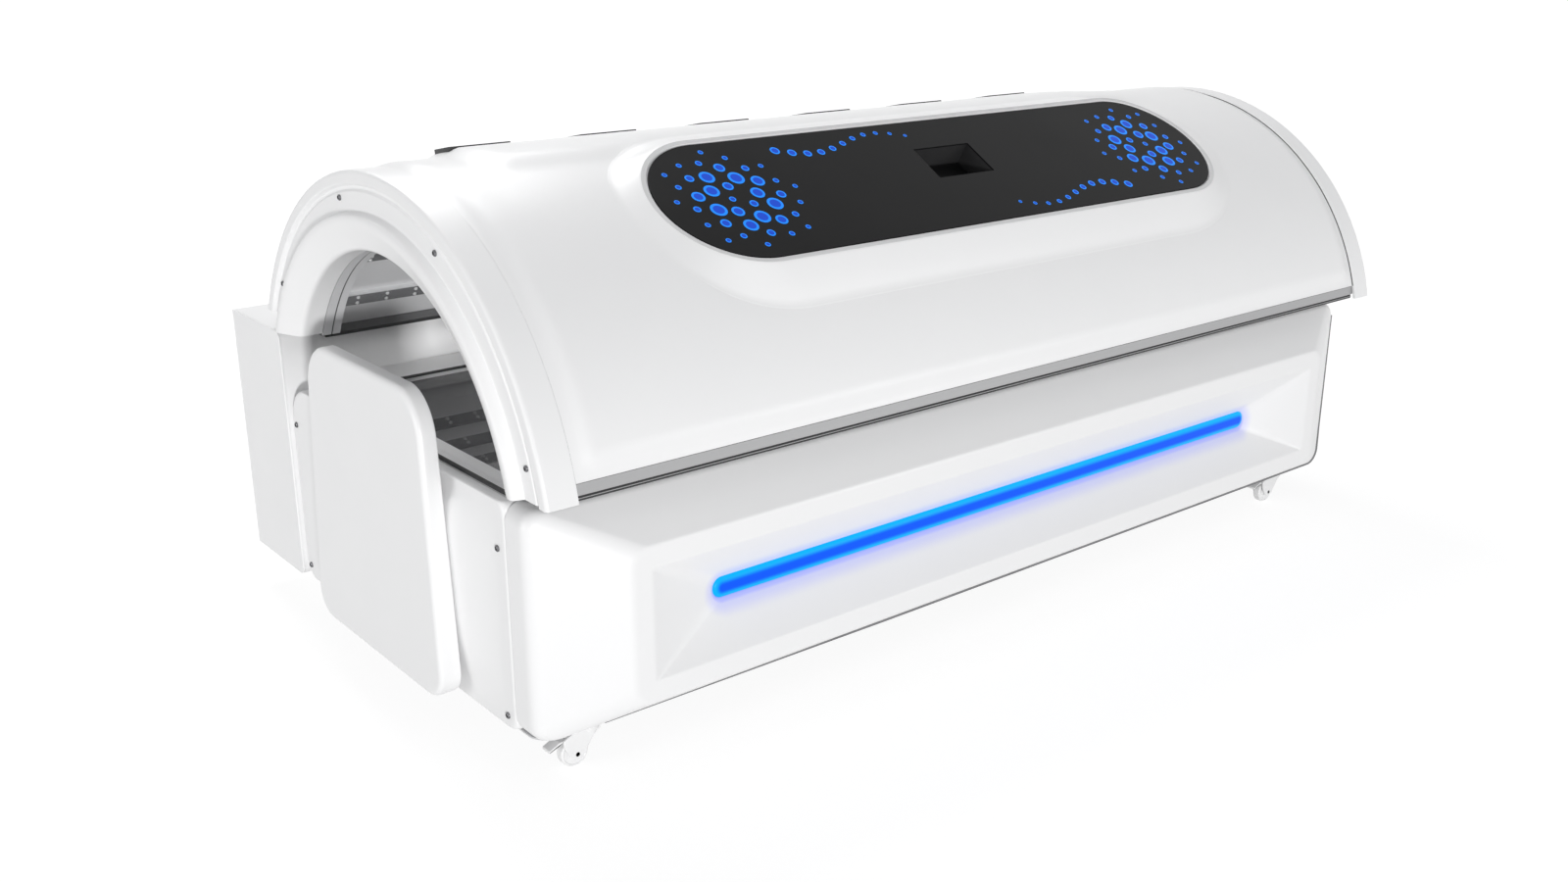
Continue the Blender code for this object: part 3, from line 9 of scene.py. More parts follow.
import bpy
import numpy as np
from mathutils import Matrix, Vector


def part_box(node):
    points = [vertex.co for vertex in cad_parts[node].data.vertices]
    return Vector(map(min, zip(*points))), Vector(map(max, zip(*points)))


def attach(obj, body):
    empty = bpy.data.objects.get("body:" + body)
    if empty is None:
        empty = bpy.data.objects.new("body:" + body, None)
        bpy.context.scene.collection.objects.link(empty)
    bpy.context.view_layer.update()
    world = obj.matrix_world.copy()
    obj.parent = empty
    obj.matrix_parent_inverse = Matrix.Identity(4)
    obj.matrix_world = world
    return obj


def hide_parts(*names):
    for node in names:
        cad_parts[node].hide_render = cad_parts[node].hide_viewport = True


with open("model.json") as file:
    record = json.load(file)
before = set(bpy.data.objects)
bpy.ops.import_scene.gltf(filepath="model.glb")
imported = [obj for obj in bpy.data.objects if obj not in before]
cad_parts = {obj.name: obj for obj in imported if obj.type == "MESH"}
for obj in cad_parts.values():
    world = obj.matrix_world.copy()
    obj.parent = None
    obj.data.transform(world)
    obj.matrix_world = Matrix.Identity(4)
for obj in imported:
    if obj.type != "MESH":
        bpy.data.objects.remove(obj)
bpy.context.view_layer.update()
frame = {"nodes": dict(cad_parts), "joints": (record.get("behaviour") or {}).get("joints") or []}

# Floor pan and ladder frame: a powder-coated steel pan carries a welded frame of satin aluminium tube.
# Both lie inside the mouldings and keep their solids; the coat has a fine pebble, the tube drawn streaks.


def feed(tree, target, inputs):
    """Fill inputs of a shader node: a socket is linked to its input, and a plain value is written on it."""
    for label, value in inputs.items():
        if isinstance(value, bpy.types.NodeSocket):
            tree.links.new(value, target.inputs[label])
        else:
            target.inputs[label].default_value = value


def node(tree, kind, inputs=None, **settings):
    """New shader node of a kind, with its settings and its inputs."""
    made = tree.nodes.new("ShaderNode" + kind)
    for label, value in settings.items():
        setattr(made, label, value)
    feed(tree, made, inputs or {})
    return made


def ramp(tree, factor, *stops, interpolation="LINEAR"):
    """Colour that follows a factor: each stop is a place on the ramp and the colour there."""
    made = node(tree, "ValToRGB", {"Fac": factor})
    made.color_ramp.interpolation = interpolation
    elements = made.color_ramp.elements
    for k, (place, colour) in enumerate((stops[0], stops[-1])):
        elements[k].position = place
        elements[k].color = (*colour, 1.0)
    for place, colour in stops[1:-1]:
        elements.new(place).color = (*colour, 1.0)
    return made.outputs["Color"]


def blank(name):
    """New material, its node tree and its shader."""
    material = bpy.data.materials.new(name)
    material.use_nodes = True
    return material, material.node_tree, material.node_tree.nodes["Principled BSDF"]


def finish(name, colour, tint, roughness, swing, grain, relief, stretch=(1.0, 1.0, 1.0), metallic=0.0):
    """Finish on Object coordinates. Slow noise moves the colour towards the tint and the roughness by its
    swing to both sides; fine noise with a grain in metres, drawn out by stretch, is the bump's relief."""
    material, tree, shader = blank(name)
    place = node(tree, "TexCoord").outputs["Object"]
    drawn = node(tree, "Mapping", {"Vector": place, "Scale": stretch}).outputs["Vector"]
    slow = node(tree, "TexNoise", {"Vector": drawn, "Scale": 9.0, "Detail": 5.0}).outputs["Fac"]
    fine = node(tree, "TexNoise", {"Vector": drawn, "Scale": 1.0 / grain, "Detail": 3.0}).outputs["Fac"]
    rub = node(tree, "MapRange", {"Value": slow, "From Min": 0.3, "From Max": 0.7,
                                  "To Min": roughness - swing, "To Max": roughness + swing})
    bump = node(tree, "Bump", {"Height": fine, "Strength": relief, "Distance": 0.001})
    feed(tree, shader, {"Base Color": ramp(tree, slow, (0.32, colour), (0.72, tint)), "Metallic": metallic,
                        "Roughness": rub.outputs["Result"], "Normal": bump.outputs["Normal"]})
    return material


def dress(material, *names):
    """Give solids that stay in view their finish."""
    for name in names:
        for slot in frame["nodes"][name].material_slots:
            slot.material = material


powder_coat = finish("powder_coated_steel", (0.60, 0.60, 0.61), (0.55, 0.55, 0.56), 0.45, 0.05, 0.0012, 0.25)
tube_alloy = finish("drawn_tube_alloy", (0.60, 0.60, 0.61), (0.50, 0.50, 0.51), 0.34, 0.08, 0.0020, 0.12,
                    stretch=(0.04, 1.0, 1.0), metallic=0.9)
dress(powder_coat, "base_floor_pan")
dress(tube_alloy, "base_frame", "light_bar_channel")

# Casters: white nylon swivel casters, a hooded fork on a king disc, a dished wheel on its axle and, on the
# two at the front, a tread pedal. Nylon is a little mottled and dull; the moulding's edges are soft.
bed_y = (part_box("end_shield_near")[0][1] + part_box("end_shield_near")[1][1]) / 2
nylon = finish("white_nylon", (0.86, 0.86, 0.86), (0.82, 0.82, 0.825), 0.42, 0.06, 0.0009, 0.12)


def cells(index):
    """Quads between the neighbours in a grid of point numbers."""
    return np.stack([index[:-1, :-1], index[:-1, 1:], index[1:, 1:], index[1:, :-1]], -1)


def skin(loops, ring=False):
    """Closed skin over matching closed loops: quads join each loop to the next, and the end loops are
    filled, or the last joins the first as a ring. Faces are turned so that the volume is positive."""
    loops = np.asarray(loops, float)
    index = np.arange(loops[..., 0].size).reshape(loops.shape[:2])
    index = np.concatenate([index, index[:, :1]], axis=1)
    if ring:
        index = np.concatenate([index, index[:1]])
    caps = [] if ring else [index[0, :-1][::-1], index[-1, :-1]]
    return outward(loops.reshape(-1, 3), cells(index).reshape(-1, 4), caps)


def outward(points, quads, caps=()):
    """The same skin with its faces turned out: the sum of signed volumes to the origin is made positive."""
    corner = points[quads]
    volume = np.einsum("ij,ij->", corner[:, 0], np.cross(corner[:, 1], corner[:, 2]))
    volume += np.einsum("ij,ij->", corner[:, 0], np.cross(corner[:, 2], corner[:, 3]))
    for cap in caps:
        fan = points[cap]
        volume += np.einsum("j,ij->", fan[0], np.cross(fan[1:-1], fan[2:]))
    if volume < 0.0:
        return points, quads[:, ::-1], [cap[::-1] for cap in caps]
    return points, quads, list(caps)


def eased(rows, reach, steps=6, ring=False):
    """Rows of points with the corner at each row eased: the corner B between A and C becomes the parabola
    (1-t)^2 P + 2t(1-t) B + t^2 Q, with P and Q on its two sides at the row's own reach from B. One more
    row just outside P and Q keeps the stretch between two corners straight in its shading."""
    rows = np.asarray(rows, float)
    size = np.broadcast_to(np.asarray(reach, float), len(rows)).reshape((-1,) + (1,) * (rows.ndim - 1))

    def towards(shift, further, most):
        """Place from each row towards the row a shift away, at its reach or a little further."""
        way = np.roll(rows, shift, axis=0) - rows
        span = np.maximum(np.linalg.norm(way, axis=-1, keepdims=True), 1e-9)
        return (rows + way * np.minimum(further * size / span, most))[:, None]

    t = np.linspace(0.0, 1.0, steps + 1).reshape((1, -1) + (1,) * (rows.ndim - 1))
    first, last = towards(1, 1.0, 0.42), towards(-1, 1.0, 0.42)
    curve = (1 - t) ** 2 * first + 2 * t * (1 - t) * rows[:, None] + t ** 2 * last
    curve = np.concatenate([towards(1, 1.15, 0.47), curve, towards(-1, 1.15, 0.47)], axis=1)
    curve = curve.reshape((-1,) + rows.shape[1:])
    return curve if ring else np.concatenate([rows[:1], curve[steps + 2:-steps - 2], rows[-1:]])


def set_along(axis, along, across, up):
    """Points whose first number runs along the named axis, and the others along the next two in order."""
    order = {"x": (along, across, up), "y": (across, along, up), "z": (across, up, along)}
    return np.stack(order[axis], axis=-1)


def plate(outline, low, high, edge, axis):
    """Prism of a closed outline between two levels along an axis. Near both ends the outline draws in along
    its own normals by edge (1 - cos a), while the level comes on by edge sin a: a quarter round."""
    outline = np.asarray(outline, float)
    along = np.roll(outline, -1, axis=0) - np.roll(outline, 1, axis=0)
    normal = np.stack([along[:, 1], -along[:, 0]], axis=1)
    normal /= np.maximum(np.linalg.norm(normal, axis=1, keepdims=True), 1e-9)
    area = np.sum(outline[:, 0] * np.roll(outline[:, 1], -1) - np.roll(outline[:, 0], -1) * outline[:, 1])
    normal *= np.sign(area)
    turn = np.linspace(0.0, math.pi / 2, 5)
    drawn = edge * (1 - np.sin(turn))
    drawn = np.concatenate([[2.0 * edge], drawn, drawn[::-1], [2.0 * edge]])
    rise = edge * (1 - np.cos(turn))
    level = np.concatenate([[low], low + rise, high - rise[::-1], [high]])
    flat = outline[None] - drawn[:, None, None] * normal[None]
    deep = np.broadcast_to(level[:, None], flat.shape[:2])
    return skin(set_along(axis, deep, flat[..., 0], flat[..., 1]))


def turned(profile, centre, axis, sides=40):
    """Solid of revolution: each (radius, place along the axis) pair of the profile becomes a circle."""
    profile = np.asarray(profile, float)
    turn = np.linspace(0.0, 2 * math.pi, sides, endpoint=False)
    across = profile[:, :1] * np.cos(turn)
    along = np.broadcast_to(profile[:, 1:], across.shape)
    return skin(set_along(axis, along, across, profile[:, :1] * np.sin(turn)) + np.asarray(centre, float))


def piece(name, skins, material, body, replaces=(), sharp=38.0, values=None):
    """One object from closed skins, set off to the bed's line, smooth but for its true edges, riding on a
    body. Values are named numbers for each point, which its finish may read."""
    counts = np.cumsum([0] + [len(points) for points, quads, caps in skins])
    points = np.concatenate([points for points, quads, caps in skins]) + np.array([0.0, bed_y, 0.0])
    quads = np.concatenate([quads + start for (_, quads, _), start in zip(skins, counts)])
    caps = [(cap + start).tolist() for (_, _, caps), start in zip(skins, counts) for cap in caps]
    mesh = bpy.data.meshes.new(name)
    mesh.from_pydata(points.tolist(), [], quads.tolist() + caps)
    for label, numbers in (values or {}).items():
        layer = mesh.attributes.new(label, "FLOAT", "POINT")
        layer.data.foreach_set("value", np.ascontiguousarray(numbers, np.float32).ravel())
    mesh.shade_smooth()
    mesh.set_sharp_from_angle(angle=math.radians(sharp))
    mesh.materials.append(material)
    made = bpy.data.objects.new(name, mesh)
    bpy.context.scene.collection.objects.link(made)
    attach(made, body)
    if replaces:
        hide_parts(*replaces)
    return made


pivots = {joint["name"]: joint["pos_m"] for joint in frame["joints"] if "pos_m" in joint}
wheel_side = np.array([(0.0038, 0.0170), (0.0038, 0.0100), (0.0102, 0.0100), (0.0112, 0.0070), (0.0202, 0.0070),
                       (0.0218, 0.0090), (0.0250, 0.0066)])
wheel_section = np.concatenate([wheel_side, wheel_side[::-1] * (1, -1)])
wheel_reach = [0.0006, 0.0008, 0.0008, 0.0012, 0.0010, 0.0010, 0.0016]
wheel_reach += wheel_reach[::-1]
hood = np.array([(0.0160, 0.0660), (-0.0300, 0.0660), (-0.0520, 0.0560), (-0.0520, 0.0430),
                 (-0.0370, 0.0165), (-0.0190, 0.0165), (0.0040, 0.0500), (0.0160, 0.0580)])
hood_reach = [0.003, 0.009, 0.008, 0.010, 0.008, 0.008, 0.006, 0.003]
bridge = np.array([(0.0160, 0.0660), (-0.0300, 0.0660), (-0.0475, 0.0582), (-0.0450, 0.0580),
                   (-0.0400, 0.0522), (0.0068, 0.0522), (0.0160, 0.0580)])
tread = np.array([(0.002, -0.0020), (0.002, 0.0040), (-0.010, 0.0030), (-0.030, -0.0060), (-0.030, -0.0105),
                  (-0.012, -0.0030)])
king_disc = eased([(0.0, 0.058), (0.0200, 0.058), (0.0200, 0.0747), (0.0, 0.0747)], 0.0012)
king_disc[[0, -1], 0] = 0.0005
cheek_in, cheek_out = 0.0116, 0.0170
for corner in ("front_near", "front_far", "rear_near", "rear_far"):
    king = np.array(pivots["caster_swivel_" + corner]) - (0.0, bed_y, 0.0)
    axle = np.array(pivots["wheel_spin_" + corner]) - (0.0, bed_y, 0.0)
    cheek = eased(hood, hood_reach, ring=True) + (king[0], 0.0)
    block = eased(bridge, 0.0015, 3, ring=True) + (king[0], 0.0)
    fork = [plate(cheek, king[1] + cheek_in, king[1] + cheek_out, 0.0016, "y"),
            plate(cheek, king[1] - cheek_out, king[1] - cheek_in, 0.0016, "y"),
            plate(block, king[1] - cheek_in - 0.0001, king[1] + cheek_in + 0.0001, 0.0004, "y"),
            turned(king_disc, (king[0], king[1], 0.0), "z")]
    piece("caster_hood_" + corner, fork, nylon, "caster_" + corner, ("caster_fork_" + corner,))
    wheel = turned(eased(wheel_section, wheel_reach, 4), axle, "y", 48)
    piece("caster_roller_" + corner, [wheel], nylon, "wheel_" + corner, ("caster_wheel_" + corner,))
    if corner.startswith("front"):
        hinge = np.array(pivots["brake_pedal_" + corner]) - (0.0, bed_y, 0.0)
        lever = eased(tread, 0.0018, 4, ring=True) + hinge[[0, 2]]
        pedal = plate(lever, hinge[1] - 0.0112, hinge[1] + 0.0112, 0.0010, "y")
        piece("caster_tread_" + corner, [pedal], nylon, "pedal_" + corner, ("caster_pedal_" + corner,))

# Front fascia: one vacuum-formed lid of white gloss plastic over the base. Soft flanks rise from its rim to a
# raised frame, and a funnel runs in from there to the slot of the light bar, whose glow on it is painted in as a
# pale violet tint. Painted shade: a grey strip under its lower edge, widening towards the far end and turning up
# there.
base_half, base_front, skirt_low, rim_top = 1.055, -0.433, 0.0783, 0.462
bar_half, bar_z, bar_tall, bar_y = 0.722, 0.2525, 0.036, -0.443


def round_rect(a0, b0, a1, b1, radius, steps=12, fill=0):
    """Round-cornered rectangle from the low-low corner round: each corner is a quarter circle of its own
    radius about its own centre. Fill adds that many points along the two sides where b runs."""
    radii = np.broadcast_to(np.asarray(radius, float), 4)[:, None]
    turn = np.radians(np.array([180.0, 270.0, 0.0, 90.0])[:, None] + np.linspace(0.0, 90.0, steps + 1))
    centre_a = np.array([a0, a1, a1, a0])[:, None] + np.array([1, -1, -1, 1])[:, None] * radii
    centre_b = np.array([b0, b0, b1, b1])[:, None] + np.array([1, 1, -1, -1])[:, None] * radii
    arcs = np.stack([centre_a + radii * np.cos(turn), centre_b + radii * np.sin(turn)], axis=-1)
    share = np.linspace(0.0, 1.0, fill + 2)[1:-1, None]
    up = arcs[1, -1] + (arcs[2, 0] - arcs[1, -1]) * share
    down = arcs[3, -1] + (arcs[0, 0] - arcs[3, -1]) * share
    return np.concatenate([arcs[0], arcs[1], up, arcs[2], arcs[3], down])


def drawn_in(rect, amount):
    """Round-cornered rectangle drawn in by an amount, its radii with it."""
    a0, b0, a1, b1, radius = rect
    return a0 + amount, b0 + amount, a1 - amount, b1 - amount, np.maximum(np.asarray(radius) - amount, 0.0008)


def moulded(loops, reach, steps, ring=True):
    """Closed skin over loops, with the corner at each loop eased."""
    return skin(eased(loops, reach, steps, ring), ring)


def upright(rect, y):
    """Round-cornered rectangle in x and z at a place y across the bed."""
    flat = round_rect(*rect)
    return np.stack([flat[:, 0], np.full(len(flat), y), flat[:, 1]], axis=1)


white_shell, bar_glow_white = [finish(name, (0.880, 0.880, 0.882), (0.872, 0.872, 0.875), 0.36, 0.04, 0.0045, 0.020)
                          for name in ("white_gloss_moulding", "white_gloss_by_the_bar")]


def paint_bar_glow(material):
    """Painted glow of the bar on the moulding: the distance in x and z from a line just below the bar's middle
    mixes the colour from the light's pale violet back to the moulding's own within a few centimetres."""
    tree = material.node_tree
    shader = tree.nodes["Principled BSDF"]
    own = shader.inputs["Base Color"].links[0].from_socket
    place = node(tree, "SeparateXYZ", {"Vector": node(tree, "TexCoord").outputs["Object"]}).outputs
    past_end = place["X"]
    for operation, value in (("ABSOLUTE", 0.0), ("SUBTRACT", bar_half - bar_tall / 2), ("MAXIMUM", 0.0)):
        past_end = node(tree, "Math", {0: past_end, 1: value}, operation=operation).outputs[0]
    height = node(tree, "Math", {0: place["Z"], 1: bar_z - 0.004}, operation="SUBTRACT").outputs[0]
    joined = node(tree, "CombineXYZ", {"X": past_end, "Y": height}).outputs["Vector"]
    span = node(tree, "VectorMath", {0: joined}, operation="LENGTH").outputs["Value"]
    lit = ramp(tree, span, (0.018, (1.0, 1.0, 1.0)), (0.0228, (0.46, 0.46, 0.46)), (0.046, (0.0, 0.0, 0.0)),
               interpolation="EASE")
    mix = node(tree, "Mix", {0: lit, 6: own, 7: (0.46, 0.47, 1.0, 1.0)}, data_type="RGBA")
    feed(tree, shader, {"Base Color": mix.outputs[2]})


# The bar's light on the fascia is painted into its colour as a pale violet glow.
paint_bar_glow(bar_glow_white)
corner_round = 0.030
lid_back, lid_inner, frame_y = -0.377, 0.005, -0.503
lid = (-base_half, skirt_low, base_half, rim_top, corner_round)
raised = (-0.913, 0.125, 0.913, 0.388, 0.036)
hollow = (-0.877, 0.161, 0.877, 0.352, 0.006)
slot = (-bar_half, bar_z - bar_tall / 2, bar_half, bar_z + bar_tall / 2, bar_tall / 2 - 0.0003)
fascia_rows = [
    (lid, lid_back, 0.0010), (lid, base_front, 0.0180), (raised, frame_y, 0.0070), (hollow, frame_y, 0.0045),
    (drawn_in(slot, -0.005), -0.4455, 0.0020), (slot, bar_y, 0.0014), (slot, -0.438, 0.0006),
    (drawn_in(slot, -0.010), -0.438, 0.0010), (drawn_in(hollow, 0.003), -0.4955, 0.0030),
    (drawn_in(raised, 0.006), -0.4970, 0.0040), (drawn_in(lid, 0.012), -0.426, 0.0060),
    (drawn_in(lid, lid_inner), -0.415, 0.0040), (drawn_in(lid, lid_inner), lid_back, 0.0010)]
fascia = moulded([upright(rect, y) for rect, y, reach in fascia_rows], [row[2] for row in fascia_rows], 7)
piece("front_fascia_moulding", [fascia], bar_glow_white, "base", ("base_front_fascia",))
# Painted shade under the lid: a grey strip that widens from the near side and turns up the far end.
shade_strip_grey = finish("grey_edge_seal", (0.20, 0.20, 0.205), (0.15, 0.15, 0.155), 0.70, 0.06, 0.0014, 0.20)
shade_strip_start, shade_strip_side, shade_strip_top, straight = -0.93, 0.16, 0.43, 40
corner_turn = np.radians(np.linspace(-90.0, 0.0, 13))
corner_way = np.column_stack([np.cos(corner_turn), np.sin(corner_turn)])
shade_strip_way = np.concatenate([[(0.0, -1.0)] * straight, corner_way, [(1.0, 0.0)] * 2])
shade_strip_path = np.concatenate([
    np.column_stack([np.linspace(shade_strip_start, base_half - 0.032, straight), np.full(straight, skirt_low)]),
    (base_half - corner_round, skirt_low + corner_round) + corner_round * corner_way,
    [(base_half, shade_strip_side), (base_half, shade_strip_top)]])
shade_strip_drop = np.minimum(0.0006 + 0.0060 * np.clip(shade_strip_path[:, 0] - shade_strip_start, 0.0, None), 0.0042)
shade_strip_drop[-2:] = 0.0024, 0.0003
shade_strip_tuck = np.full(len(shade_strip_path), -0.004)
shade_strip_loops = [np.column_stack([shade_strip_path + shade_strip_way * reach[:, None], np.full(len(shade_strip_path), y)])[:, [0, 2, 1]]
              for reach, y in ((shade_strip_tuck, -0.434), (shade_strip_drop, -0.434), (shade_strip_drop, -0.424), (shade_strip_tuck, -0.424))]
piece("front_fascia_seal", [skin(np.stack(shade_strip_loops, axis=1))], shade_strip_grey, "base")

# Light bar: a crowned diffuser of blue-lit acrylic, pushed through the fascia's slot from behind onto a flange.
# The light is deepest along its middle and turns to cyan at its rim.


def glow(name, rim, middle):
    """Lit finish: the value called core at each point runs from the rim's colour at 0 to the middle's at 1."""
    material, tree, shader = blank(name)
    core = node(tree, "Attribute", attribute_name="core").outputs["Fac"]
    feed(tree, shader, {
        "Base Color": (0.0, 0.01, 0.06, 1.0), "Roughness": 0.35, "Specular IOR Level": 0.10, "Emission Strength": 1.0,
        "Emission Color": ramp(tree, core, (0.18, rim), (0.80, middle), interpolation="EASE")})
    return material


blue_light = glow("blue_lit_diffuser", (0.0, 0.46, 1.0), (0.0, 0.095, 1.0))
lens_turn = np.radians(np.linspace(0.0, 84.0, 12))
flange, flange_low, flange_high, lens_gap = -0.006, -0.4347, -0.4377, 0.0003
lens_rows = [upright(drawn_in(slot, flange), flange_low), upright(drawn_in(slot, flange), flange_high),
             upright(drawn_in(slot, lens_gap), flange_high)]
lens_rows += [upright(drawn_in(slot, lens_gap + 0.0165 * (1 - math.cos(a))), bar_y - 0.0055 * math.sin(a))
              for a in lens_turn]
core = np.concatenate([[0.0, 0.0, 0.0], 1 - np.cos(lens_turn)])
core = np.repeat(core, len(lens_rows[0]))
piece("light_bar_diffuser", [skin(lens_rows)], blue_light, "base", ("light_bar_lens",),
      values={"core": core})

# End caps and shields: a white gloss moulding closes each end of the base, with a soft pedestal in its middle;
# a thick round-cornered shield stands on the pedestal. Socket screws hold the caps to the frame.
zinc = finish("zinc_plated_screw", (0.20, 0.20, 0.21), (0.12, 0.12, 0.125), 0.24, 0.08, 0.0008, 0.15, metallic=1.0)


def repeated(bodies):
    """Closed skins of many equal bodies at once, given as loops of points: quads join each loop of a body to
    the next, and its two end loops are closed by strips of quads from side to side."""
    count, loops, sides = bodies.shape[:3]
    index = np.arange(loops * sides).reshape(loops, sides)
    walls = cells(np.concatenate([index, index[:, :1]], axis=1)).reshape(-1, 4)
    k = np.arange(sides // 2 - 1)
    lid_strip = np.stack([k, k + 1, sides - 2 - k, sides - 1 - k], axis=-1)
    quads = np.concatenate([walls, index[0][lid_strip][:, ::-1], index[-1][lid_strip]])
    quads = (quads[None] + loops * sides * np.arange(count)[:, None, None]).reshape(-1, 4)
    return outward(bodies.reshape(-1, 3), quads)


def studs(profile, places, out, first, sides):
    """Equal turned bodies, one at each place: every (radius, height) pair of the profile becomes a circle about the
    way out, counted from a first direction square to it."""
    turn = np.linspace(0.0, 2 * math.pi, sides, endpoint=False)[:, None]
    places, out, first = [np.broadcast_to(np.asarray(part, float), np.shape(places))[:, None, None]
                          for part in (places, out, first)]
    ring = np.cos(turn) * first + np.sin(turn) * np.cross(out, first)
    return repeated(places + profile[:, 1, None, None] * out + profile[:, 0, None, None] * ring)


def screws(places, way, size=0.0056):
    """Socket-head screws at some places, their heads and sockets turned about the way they point."""
    head = eased([(0.0001, -0.0010), (size, -0.0010), (size, 0.0014), (size * 0.66, 0.0030), (size * 0.52, 0.0030),
                  (size * 0.52, 0.0004), (0.0001, 0.0004)], 0.0004, 3)
    side = np.cross(way, (0.31, 0.73, 0.61))
    return [studs(head, places, way, side / np.linalg.norm(side), 14)]


def stations(section, places):
    """Section in y and z, set at each of some places along the bed."""
    return np.stack([np.column_stack([np.full(len(section), x), section]) for x in places])


guard_low, guard_top, guard_half, guard_spread = 0.087, 0.600, 0.224, 0.016
cap = (-0.3767, skirt_low, 0.4327, rim_top, np.array([0.0144, 0.030, 0.068, 0.0144]))
seat = (-guard_half, 0.191, guard_half, 0.410, 0.052)
foot = (-0.329, 0.0963, 0.329, 0.444, 0.0728)
guard = (-guard_half, guard_low, guard_half, guard_top, np.array([0.052, 0.052, 0.075, 0.075]))


def end_on(side, rect, out):
    """Round-cornered rectangle in y and z at a place out from one end of the base."""
    return stations(round_rect(*rect), [side * (base_half + out)])[0]


def leaned(side, amount, out, lean):
    """Shield outline drawn in by an amount: wider and further out the lower it is."""
    flat = round_rect(*drawn_in(guard, amount))
    down = (guard_top - flat[:, 1]) / (guard_top - guard_low)
    wide = 1.0 + guard_spread / guard_half * (2.0 * down - 1.0)
    return np.stack([side * (base_half + out + lean * down), flat[:, 0] * wide, flat[:, 1]], axis=1)


cap_rows = [
    (drawn_in(seat, 0.005), 0.0127, 0.001), (drawn_in(foot, 0.005), -0.005, 0.010),
    (drawn_in(cap, 0.017), -0.005, 0.002), (drawn_in(cap, 0.005), -0.012, 0.003),
    (drawn_in(cap, 0.005), -0.045, 0.001), (cap, -0.045, 0.001), (cap, 0.0, 0.0140), (foot, 0.0, 0.045),
    (seat, 0.0177, 0.050), (drawn_in(seat, 0.050), 0.0177, 0.001)]
guard_rows = [(0.060, 0.018, 0.0), (0.0, 0.018, 0.0), (0.0, 0.048, 0.008), (0.060, 0.048, 0.008)]
cap_screws = np.array([(-0.351, 0.383), (-0.351, 0.100), (0.408, 0.388), (0.408, 0.104)])
for side, label in ((-1.0, "near"), (1.0, "far")):
    cap_skin = moulded([end_on(side, rect, out) for rect, out, reach in cap_rows], [row[2] for row in cap_rows], 7,
                       ring=False)
    piece("end_cap_moulding_" + label, [cap_skin], white_shell, "base", ("base_end_cap_" + label,))
    guard_skin = moulded([leaned(side, *row) for row in guard_rows], [0.001, 0.004, 0.0105, 0.001], 8, ring=False)
    piece("end_shield_moulding_" + label, [guard_skin], white_shell, "base", ("end_shield_" + label,))
    heads = stations(cap_screws, [side * (base_half + 0.0004)])[0]
    piece("end_cap_screws_" + label, screws(heads, (side, 0.0, 0.0)), zinc, "base")

# Bed: a white rim moulding with a ledge carries the dished lying sheet of smoked acrylic; the lamp tray of
# brushed reflector hangs below with rows of small lenses, and a black gasket runs round on the rim.


def clear(name, colour, alpha, roughness):
    """Clear sheet: a thin tint that lets light through by its alpha, with faint wiped smears in the gloss."""
    material = finish(name, colour, tuple(0.8 * part for part in colour), roughness, roughness * 0.6, 0.012, 0.012,
                      stretch=(0.5, 2.0, 2.0))
    material.node_tree.nodes["Principled BSDF"].inputs["Alpha"].default_value = alpha
    return material


smoked = clear("smoked_acrylic", (0.150, 0.151, 0.155), 0.42, 0.06)
rubber = finish("black_rubber", (0.016, 0.016, 0.017), (0.026, 0.026, 0.027), 0.62, 0.08, 0.0010, 0.25)
reflector = finish("brushed_reflector", (0.86, 0.86, 0.87), (0.80, 0.80, 0.81), 0.34, 0.07, 0.0018, 0.12,
                   stretch=(0.03, 1.0, 1.0), metallic=0.1)
tub_half, tub_wide, tub_sag = 0.985, 0.335, 0.080
tub_curve = (tub_wide ** 2 + tub_sag ** 2) / (2 * tub_sag)


def dish(y):
    """Underside of the lying sheet: an arc across the bed, clamped at the edge of the opening."""
    y = np.clip(y, -tub_wide, tub_wide)
    return rim_top - 0.016 - tub_sag + tub_curve - np.sqrt(tub_curve ** 2 - y ** 2)


def slab(outer, inner, keep=None):
    """Wall between two matching grids of points. Cells that keep marks false are left open, and every free
    edge, at a rim or round an opening, is closed by a face from the outer grid to the inner."""
    rows, columns = outer.shape[:2]
    index = np.arange(rows * columns).reshape(rows, columns)
    keep = np.ones((rows - 1, columns - 1), bool) if keep is None else keep
    kept = cells(index)[keep]
    under = rows * columns
    solid = np.pad(keep, 1)
    faces = [kept, kept[:, ::-1] + under]
    for one, two, ahead, forward in (
            (index[:, :-1], index[:, 1:], solid[1:, 1:-1], solid[:-1, 1:-1]),
            (index[1:], index[:-1], solid[1:-1, 1:], solid[1:-1, :-1])):
        for this, that, a, b in ((ahead, forward, two, one), (forward, ahead, one, two)):
            free = this & ~that
            faces.append(np.stack([a[free], b[free], b[free] + under, a[free] + under], axis=-1))
    points = np.concatenate([outer.reshape(-1, 3), inner.reshape(-1, 3)])
    return outward(points, np.concatenate(faces))


def level(rect, z, drop=None):
    """Round-cornered rectangle in x and y, at a height, or draped on the dish with a drop below it."""
    flat = round_rect(*rect, steps=6, fill=24)
    height = np.full(len(flat), z) if drop is None else dish(flat[:, 1]) - drop
    return np.column_stack([flat, height])


